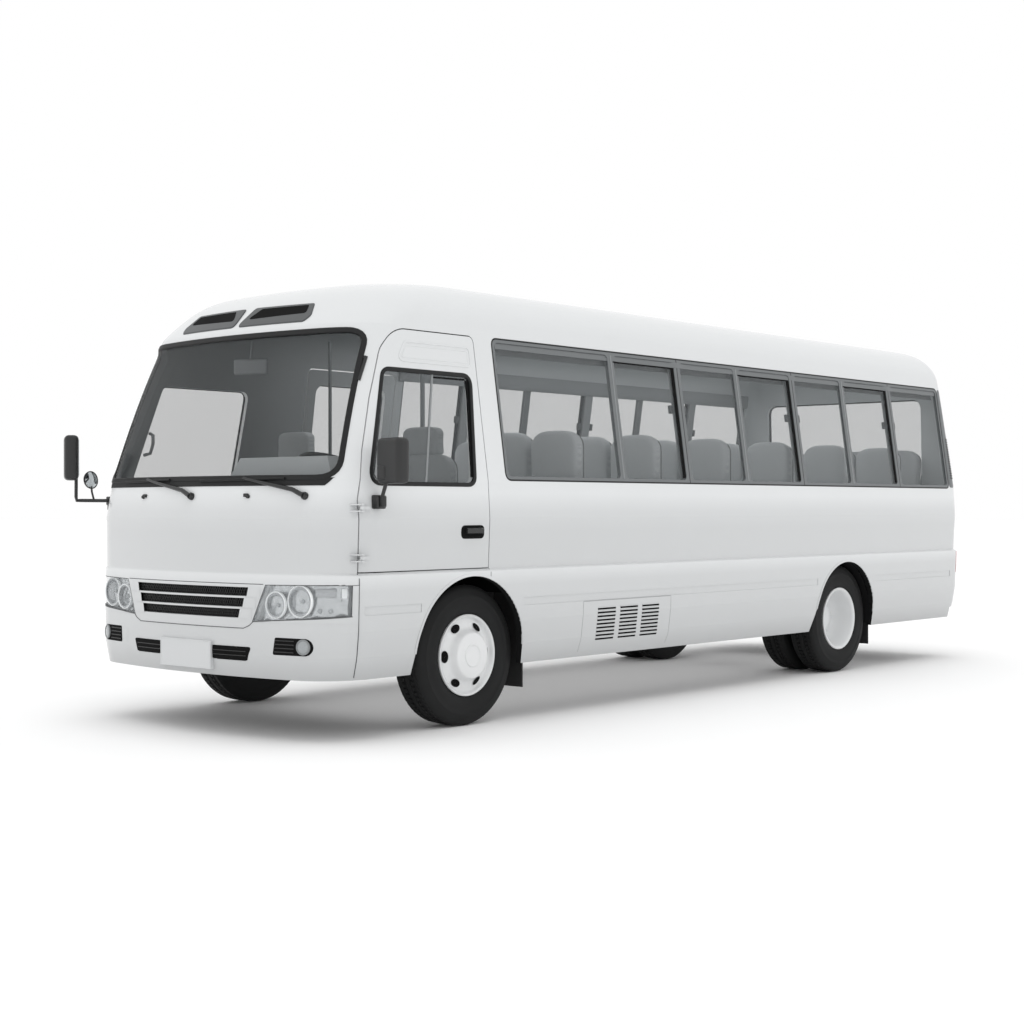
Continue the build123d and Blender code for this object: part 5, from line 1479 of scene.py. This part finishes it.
@dataclass
class Wheel:
    """A road wheel with its tyre, turned about X."""

    name: str
    body: str
    tyres: str
    rims: str
    hub: Vector
    side: Side
    twin: bool = False
    tyre_r: float = 0.384
    tyre_w: float = 0.205
    rim_r: float = 0.217
    pitch: float = 0.246
    blocks: int = 72
    holes: int = 6
    nuts: int = 6

    def build(self) -> None:
        """Build the tyres and rims of this hub."""
        out = Vector((float(self.side.value), 0.0, 0.0))
        tyres, rims, dark = Shape(), Shape(), Shape()
        for middle in ([self.hub, self.hub - out * self.pitch] if self.twin else [self.hub]):
            self.tyre(tyres, facing(middle, out))
        if self.twin:
            self.deep_rim(rims, facing(self.hub, out))
            self.deep_rim(rims, facing(self.hub - out * self.pitch, -out))
        else:
            self.covered_rim(rims, dark, facing(self.hub, out))
            # The hand holes are dark patches of painted shade.
            dark.make(self.name + "_hand_holes", DARK_TRIM_AND_HOLLOW_SHADE, self.body)
        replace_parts(tyres.make(self.name + "_tyre_form", TYRE, self.body, 50.0), self.tyres)
        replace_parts(rims.make(self.name + "_rim_form", WHEEL, self.body, 50.0), self.rims)

    def tyre(self, shape: Shape, place: Matrix) -> None:
        """Build a tyre with rounded shoulders, ribs and tread blocks.

        Args:
            shape: Where it is gathered.
            place: Its middle, with local Z outwards.
        """
        r, w, b = self.tyre_r, self.tyre_w / 2, self.rim_r
        wall = [(b - 0.004, w - 0.030), (b + 0.002, w - 0.014), (b + 0.016, w - 0.006),
                (b + 0.045, w - 0.0005), (b + 0.075, w), (b + 0.100, w - 0.003), (b + 0.103, w - 0.0015),
                (b + 0.108, w - 0.0035)]
        shoulder = [(r - 0.030, w - 0.008), (r - 0.014, w - 0.016), (r - 0.008, w - 0.024),
                    (r - 0.004, w - 0.030)]
        crown = []
        for x in (0.070, 0.046, 0.042, 0.018, 0.014):
            sunk = 0.010 if x in (0.042, 0.018) else 0.002
            crown.append((r - sunk - 0.008 * (x / w) ** 2, x))
        upper = wall + shoulder + crown
        profile = upper + [(p, -h) for p, h in reversed(upper)]
        shape.lathe(profile, place, 96, closed=True)
        for angle in turns(self.blocks):
            for sign, shift in ((1, 0.0), (-1, 0.5)):
                turn = place @ Matrix.Rotation(angle + shift * 2 * math.pi / self.blocks, 4, "Z")
                shape.box((0.012, 0.023, 0.024), turn @ at(r - 0.0110, 0.0, sign * (w - 0.0370)), 0.002, 1)
                shape.box((0.012, 0.024, 0.020), turn @ at(r - 0.0078, 0.0, sign * 0.032), 0.002, 1)

    def covered_rim(self, shape: Shape, dark: Shape, place: Matrix) -> None:
        """Build the front rim: lip, dished disc, raised middle, and hand holes drawn as dark patches of
        painted shade.

        Args:
            shape: Where the painted parts are gathered.
            dark: Where the hand holes' painted shade is gathered.
            place: Its middle, with local Z outwards.
        """
        b, w = self.rim_r, self.tyre_w / 2
        lip = [(b - 0.004, -w + 0.02), (b - 0.002, w - 0.022), (b + 0.004, w - 0.012), (b + 0.004, w - 0.002),
               (b - 0.002, w + 0.003), (b - 0.009, w - 0.001), (b - 0.014, w - 0.014), (b - 0.020, w - 0.024)]
        disc = [(0.188, w - 0.026), (0.168, w - 0.016), (0.150, w - 0.010), (0.142, w - 0.004)]
        boss = [(0.136, w + 0.008), (0.126, w + 0.030), (0.121, w + 0.035), (0.114, w + 0.037)]
        cap = [(0.064, w + 0.038), (0.061, w + 0.042), (0.056, w + 0.043), (0.052, w + 0.040),
               (0.046, w + 0.0395), (0.0005, w + 0.040)]
        shape.lathe(lip + disc + boss + cap, place, 72)
        well = [(b - 0.006, -w + 0.02), (b - 0.03, -w + 0.03), (b - 0.04, 0.0), (b - 0.06, 0.04)]
        shape.lathe(well, place, 72)
        # Hand holes: shallow dark patches on the disc, painted shade where the holes would show the dark hub
        # behind.
        for angle in turns(self.holes):
            turn = place @ Matrix.Rotation(angle, 4, "Z")
            centre = at(0.168, 0.0, w - 0.0165)
            rows = []
            for scale, h in ((1.0, 0.0022), (0.9, 0.0030), (0.45, 0.0030), (0.02, 0.0030)):
                ring = [(scale * math.cos(a), scale * math.sin(a)) for a in turns(24)]
                rows.append([turn @ centre @ Vector((0.019 * u, 0.033 * v, h - 0.009 * u)) for u, v in ring])
            dark.grid(rows, loop=True)

    def deep_rim(self, shape: Shape, place: Matrix) -> None:
        """Build one rim of the twin pair, dished deep between the tyres.

        Args:
            shape: Where it is gathered.
            place: Its middle, with local Z towards the open side.
        """
        b, w = self.rim_r, self.tyre_w / 2
        lip = [(b - 0.004, -w + 0.02), (b - 0.002, w - 0.022), (b + 0.004, w - 0.012), (b + 0.004, w - 0.004),
               (b - 0.004, w + 0.001), (b - 0.014, w - 0.004), (b - 0.020, w - 0.020)]
        dish = [(b - 0.024, 0.02), (b - 0.028, -0.015), (b - 0.046, -0.050), (b - 0.060, -0.058)]
        boss = [(0.120, -0.060), (0.108, -0.052), (0.098, -0.030), (0.090, -0.022), (0.050, -0.018),
                (0.0005, -0.016)]
        shape.lathe(lip + dish + boss, place, 72)
        for angle in turns(self.nuts):
            spot = place @ Matrix.Rotation(angle, 4, "Z") @ at(0.135, 0.0, 0.0)
            shape.lathe([(0.014, -0.062), (0.014, -0.044), (0.010, -0.038), (0.0005, -0.037)], spot, 12)


@dataclass
class Cabin:
    """Seats, dashboard, steering wheel and the lining that shows through the glass."""

    left_rows: tuple[float, ...] = (-1.700, -0.920, -0.140, 0.640, 1.420, 2.200)
    right_rows: tuple[float, ...] = (-0.820, -0.040, 0.740, 1.520, 2.200)
    pair_x: float = 0.533
    seat_w: float = 0.370
    gap: float = 0.012
    cushion: Flat = (0.400, 0.110)
    cushion_z: float = 1.130
    back_top: float = 1.640
    back_t: float = 0.100
    floor_z: float = 0.724
    box_z: float = 0.842
    wheel_box: Flat = (1.0, 1.88)
    frame_z: float = 1.018
    bench_y: float = 2.830
    driver: Point = (0.450, -2.560, 0.480)
    guide: Point = (-0.580, -2.600, 0.480)
    headrest: Point = (0.290, 0.075, 0.165)
    shoulder: float = 1.485
    wheel_at: Point = (0.450, -2.775, 1.385)
    wheel_tilt: float = -22.0
    column_tilt: float = -20.0
    wheel_r: float = 0.205

    def build(self) -> None:
        """Build what shows of the cabin."""
        dress("floor_pan", FLOOR_COVER, UNDERSEAL, pick=self.underneath)
        dress("dashboard", LINING)
        self.seats()
        self.dash()
        self.steering_wheel()
        self.ceiling()
        self.fittings()

    def underneath(self, p: Vector, normal: Vector) -> int:
        """Tell the floor's upper faces from those that the road sees."""
        return 0 if normal.z > 0.5 and p.z > 0.5 else (1 if p.z < 0.845 else 0)

    def seats(self) -> None:
        """Upholster every row, with piping and feet."""
        piping, feet = Shape(), Shape()
        rows = [("left", self.pair_x, y, 2) for y in self.left_rows]
        rows += [("right", -self.pair_x, y, 2) for y in self.right_rows]
        rows.append(("rear", 0.0, self.bench_y, 4))
        first = None
        for i, (word, x, y, count) in enumerate(rows):
            piece = self.bench("seat_%s_%d" % (word, i + 1), x, y, count, self.seat_w, piping)
            first = first or piece
            for foot_x in ([-self.seat_w - self.gap, self.seat_w + self.gap] if count == 4 else [x]):
                over_wheel = self.wheel_box[0] < y < self.wheel_box[1] and count == 2
                self.foot(feet, foot_x, y, self.box_z if over_wheel else self.floor_z)
        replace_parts(first, "passenger_seats")
        x, y, width = self.guide
        self.bench("guide_seat_pads", x, y, 1, width, piping, self.shoulder)
        self.foot(feet, x, y, self.box_z)
        x, y, width = self.driver
        seat = self.bench("driver_seat_pads", x, y, 1, width, piping, self.shoulder)
        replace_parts(seat, "driver_seat")
        self.foot(feet, x, y, self.floor_z)
        piping.make("seat_piping", PIPING)
        feet.make("seat_feet", CHASSIS)

    def foot(self, feet: Shape, x: float, y: float, low: float) -> None:
        """Stand a row on a foot whose lower end lies at a height."""
        feet.box((0.08, 0.28, self.frame_z - low), at(x, y + 0.23, (self.frame_z + low) / 2), 0.01)

    def bench(self, name: str, x: float, y: float, count: int, width: float, piping: Shape,
              shoulder: float = 0.0) -> bpy.types.Object:
        """Upholster one row of seats.

        Args:
            name: The piece's name.
            x: Middle of the row.
            y: Front of its cushions.
            count: Seats side by side.
            width: Width of each.
            piping: Where the piping is gathered.
            shoulder: Top of the back where a headrest stands on it, or 0 without one.

        Returns:
            The padded piece.
        """
        pads = Shape()
        length, thick = self.cushion
        top = shoulder or self.back_top
        tall = top - self.cushion_z + thick - 0.02
        for i in range(count):
            cx = x + (i - (count - 1) / 2) * (width + self.gap)
            seat = at(cx, y + length / 2, self.cushion_z - thick / 2)
            pads.pad((width - 0.004, length - 0.006, thick - 0.012), seat, 0.012)
            back = at(cx, y + length + self.back_t / 2, top - tall / 2 - 0.002)
            pads.pad((width - 0.004, self.back_t - 0.010, tall), back, 0.014, 0.085)
            if shoulder:
                rest = at(cx, y + length + self.back_t / 2, self.back_top - self.headrest[2] / 2 - 0.002)
                pads.pad(self.headrest, rest, 0.010, 0.05)
            x0, x1 = cx - width / 2 + 0.016, cx + width / 2 - 0.016
            z0, z1 = self.cushion_z + 0.02, top - 0.030
            loop = spaced(rounded(((x0, z0), (x0, z1), (x1, z1), (x1, z0)), 0.075, False), 0.04, False)
            rear = y + length + self.back_t - 0.006
            piping.tube([Vector((p.x, rear, p.y)) for p in loop], 0.004, 6)
        piece = pads.make(name, CLOTH, ROOT, 60.0)
        return piece

    def dash(self) -> None:
        """Add the instrument hood, the centre vents and the panel edge."""
        hood, trim = Shape(), Shape()
        hood.box((1.70, 0.05, 0.035), at(0.0, -3.035, 1.262), 0.015, 4)
        hood.make("dash_hood", LINING)
        for x in (-0.55, -0.15, 0.12, 0.80):
            trim.box((0.13, 0.02, 0.06), at(x, -3.008, 1.19), 0.008)
        trim.box((0.30, 0.02, 0.16), at(0.0, -3.008, 1.06), 0.01)
        trim.make("dash_vents", BLACK)

    def steering_wheel(self) -> None:
        """Build the rim, spokes and hub of the steering wheel, and the column."""
        x, y, z = self.wheel_at
        place = at(x, y, z) @ Matrix.Rotation(math.radians(self.wheel_tilt), 4, "X")
        ring = Shape()
        r = self.wheel_r
        rim = [place @ Vector((r * math.cos(a), r * math.sin(a), 0.0)) for a in turns(48)]
        ring.tube(rim, 0.015, 12, True)
        for a in (math.radians(d) for d in (10, 170, 270)):
            spoke = ((0.03, -0.012), (0.11, -0.010), (0.195, 0.0))
            ends = [place @ Vector((out * math.cos(a), out * math.sin(a), h)) for out, h in spoke]
            ring.tube(ends, [0.017, 0.013, 0.010], 10)
        boss = [(0.0005, 0.020), (0.040, 0.018), (0.056, 0.008), (0.058, -0.010), (0.045, -0.030)]
        ring.lathe(boss, place, 28)
        column = at(x, y, z) @ Matrix.Rotation(math.radians(self.column_tilt), 4, "X")
        ring.lathe([(0.040, -0.03), (0.040, -0.16), (0.026, -0.18), (0.026, -0.69)], column, 20)
        for s in (1, -1):
            lever = (Vector((s * 0.03, 0.0, -0.10)), Vector((s * 0.16, 0.02, -0.09)))
            ring.tube([column @ end for end in lever], 0.007, 8)
        piece = ring.make("steering_wheel_form", BLACK)
        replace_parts(piece, "steering_wheel")

    def ceiling(self) -> None:
        """Line the cove over the side windows."""
        cove = Shape()
        for side, start in ((Side.LEFT, -2.12), (Side.RIGHT, -0.98)):
            s = side.value
            ys = [start + (3.26 - start) * k / 24 for k in range(25)]
            rows = []
            for drop, inward in ((2.135, 0.052), (2.08, 0.056), (2.042, 0.056), (2.030, 0.048),
                                 (2.030, 0.034)):
                edge = 0.9015 + (2.135 - drop) * 0.146
                rows.append([Vector((s * (edge - inward), y, drop)) for y in ys])
            cove.grid(rows)
        cove.make("window_coves", COVE)

    def fittings(self) -> None:
        """Add the interior mirror, the pillar handle and the entry post."""
        parts = Shape()
        place = at(0.085, -3.065, 1.940) @ Matrix.Rotation(math.radians(24), 4, "Z")
        parts.box((0.200, 0.028, 0.085), place, 0.014, 3)
        parts.tube([Vector((0.085, -3.07, 1.965)), Vector((0.075, -3.045, 2.08))], 0.007, 8)
        parts.make("cabin_mirror", FRAME_GREY)
        posts = Shape()
        posts.tube([Vector((-0.66, -1.80, 0.73)), Vector((-0.66, -1.80, 2.22))], 0.011, 12)
        posts.tube([Vector((-0.66, -0.97, 0.73)), Vector((-0.66, -0.97, 2.22))], 0.016, 12)
        grip = [Vector((-0.925, -3.02, 1.485)), Vector((-0.890, -3.00, 1.495)), Vector((-0.878, -2.99, 1.55)),
                Vector((-0.885, -2.985, 1.600)), Vector((-0.915, -2.985, 1.612))]
        posts.tube(grip, 0.010, 8)
        posts.make("grab_rails", FRAME_GREY)


@dataclass
class Underbody:
    """Finishes of the chassis pieces that the road sees."""

    finishes: dict[str, Finish] = field(default_factory=lambda: {
        "chassis_frame": CHASSIS, "leaf_springs": CHASSIS, "front_axle": CHASSIS, "rear_axle": CHASSIS,
        "left_knuckle": IRON, "right_knuckle": IRON, "fuel_tank": CHASSIS, "engine_block": IRON,
        "driveline": IRON, "exhaust": STEEL})

    def build(self) -> None:
        """Finish the chassis pieces."""
        for name, finish in self.finishes.items():
            dress(name, finish)


@dataclass
class Studio:
    """Pale floor, soft light and the camera of the photograph."""

    eye: Point = (7.0454, -8.924, 1.1866)
    yaw: float = 41.018
    pitch: float = 0.185
    lens: float = 58.6
    sky: float = 1.0
    overhead: float = 0.55
    cabin: float = 26.0
    under: float = 8.5

    def build(self) -> None:
        """Build the floor, the lights and the camera."""
        self.floor()
        self.lights()
        camera = bpy.data.cameras.new("photo_camera")
        camera.lens = self.lens
        camera.sensor_width = 36.0
        holder = bpy.data.objects.new("photo_camera", camera)
        holder.location = self.eye
        holder.rotation_euler = (math.radians(90 - self.pitch), 0.0, math.radians(self.yaw))
        bpy.context.scene.collection.objects.link(holder)
        bpy.context.scene.camera = holder

    def floor(self) -> None:
        """Lay a pale floor that runs far back."""
        mesh = bpy.data.meshes.new("studio_floor")
        far = 120.0
        corners = [(x, y, 0.0) for x, y in oblong(-far, far, -far, far)]
        mesh.from_pydata(corners, [], [(0, 1, 2, 3)])
        finish = Finish("studio_floor", "plate_white", (0.95, 0.95, 0.95), 0.9, grain=20.0, bump=0.0,
                        spread=0.004)
        mesh.materials.append(finish.material())
        ground = bpy.data.objects.new("studio_floor", mesh)
        bpy.context.scene.collection.objects.link(ground)

    def lights(self) -> None:
        """Light the bus softly from all round, brighter from above."""
        world = bpy.data.worlds.new("studio_light")
        world.use_nodes = True
        world.node_tree.nodes["Background"].inputs["Color"].default_value = (1.0, 1.0, 1.0, 1.0)
        world.node_tree.nodes["Background"].inputs["Strength"].default_value = self.sky
        bpy.context.scene.world = world
        for name, kind, where, aim, size, power in (
                ("overhead", "SUN", (0.5, -0.4, 9.0), (0.0, 0.0, 0.0), math.radians(50), self.overhead),
                ("cabin_glow", "AREA", (0.0, 0.3, 2.26), (0.0, 0.3, 0.0), 1.2, self.cabin),
                ("under_fill", "AREA", (0.0, 0.0, 0.30), (0.0, 0.0, 0.0), 1.3, self.under)):
            lamp = bpy.data.lights.new(name, kind)
            if kind == "SUN":
                lamp.angle = size
            else:
                lamp.shape = "RECTANGLE"
                lamp.size = size
                lamp.size_y = 5.0
            lamp.energy = power
            holder = bpy.data.objects.new(name, lamp)
            holder.location = where
            holder.visible_camera = False
            holder.visible_glossy = False
            holder.rotation_euler = (Vector(aim) - Vector(where)).to_track_quat("-Z", "Y").to_euler()
            bpy.context.scene.collection.objects.link(holder)
        bpy.context.scene.view_settings.view_transform = "Standard"


def wheels() -> list[Wheel]:
    """List the four hubs.

    Returns:
        One wheel for each hub.
    """
    made = []
    for side in Side:
        word, s = side.name.lower(), side.value
        for end, (x, y, z), plural in (("front", FRONT_HUB, ""), ("rear", REAR_HUB, "s")):
            name = "%s_%s" % (end, word)
            rims, tyres = name + "_wheel" + plural, name + "_tyre" + plural
            made.append(Wheel(name, rims, tyres, rims, Vector((s * x, y, z)), side, twin=end == "rear"))
    return made


def main() -> None:
    """Build every sub-assembly in order."""
    logging.basicConfig(level=logging.INFO, format="%(name)s %(message)s")
    for part in (BodyWork(), Glazing(), NoseTrim(), SideTrim(), Mirrors(), Tail(), *wheels(), Cabin(),
                 Underbody(), Studio()):
        part.build()
        LOG.info("built %s", type(part).__name__)


if __name__ == "__main__":
    main()
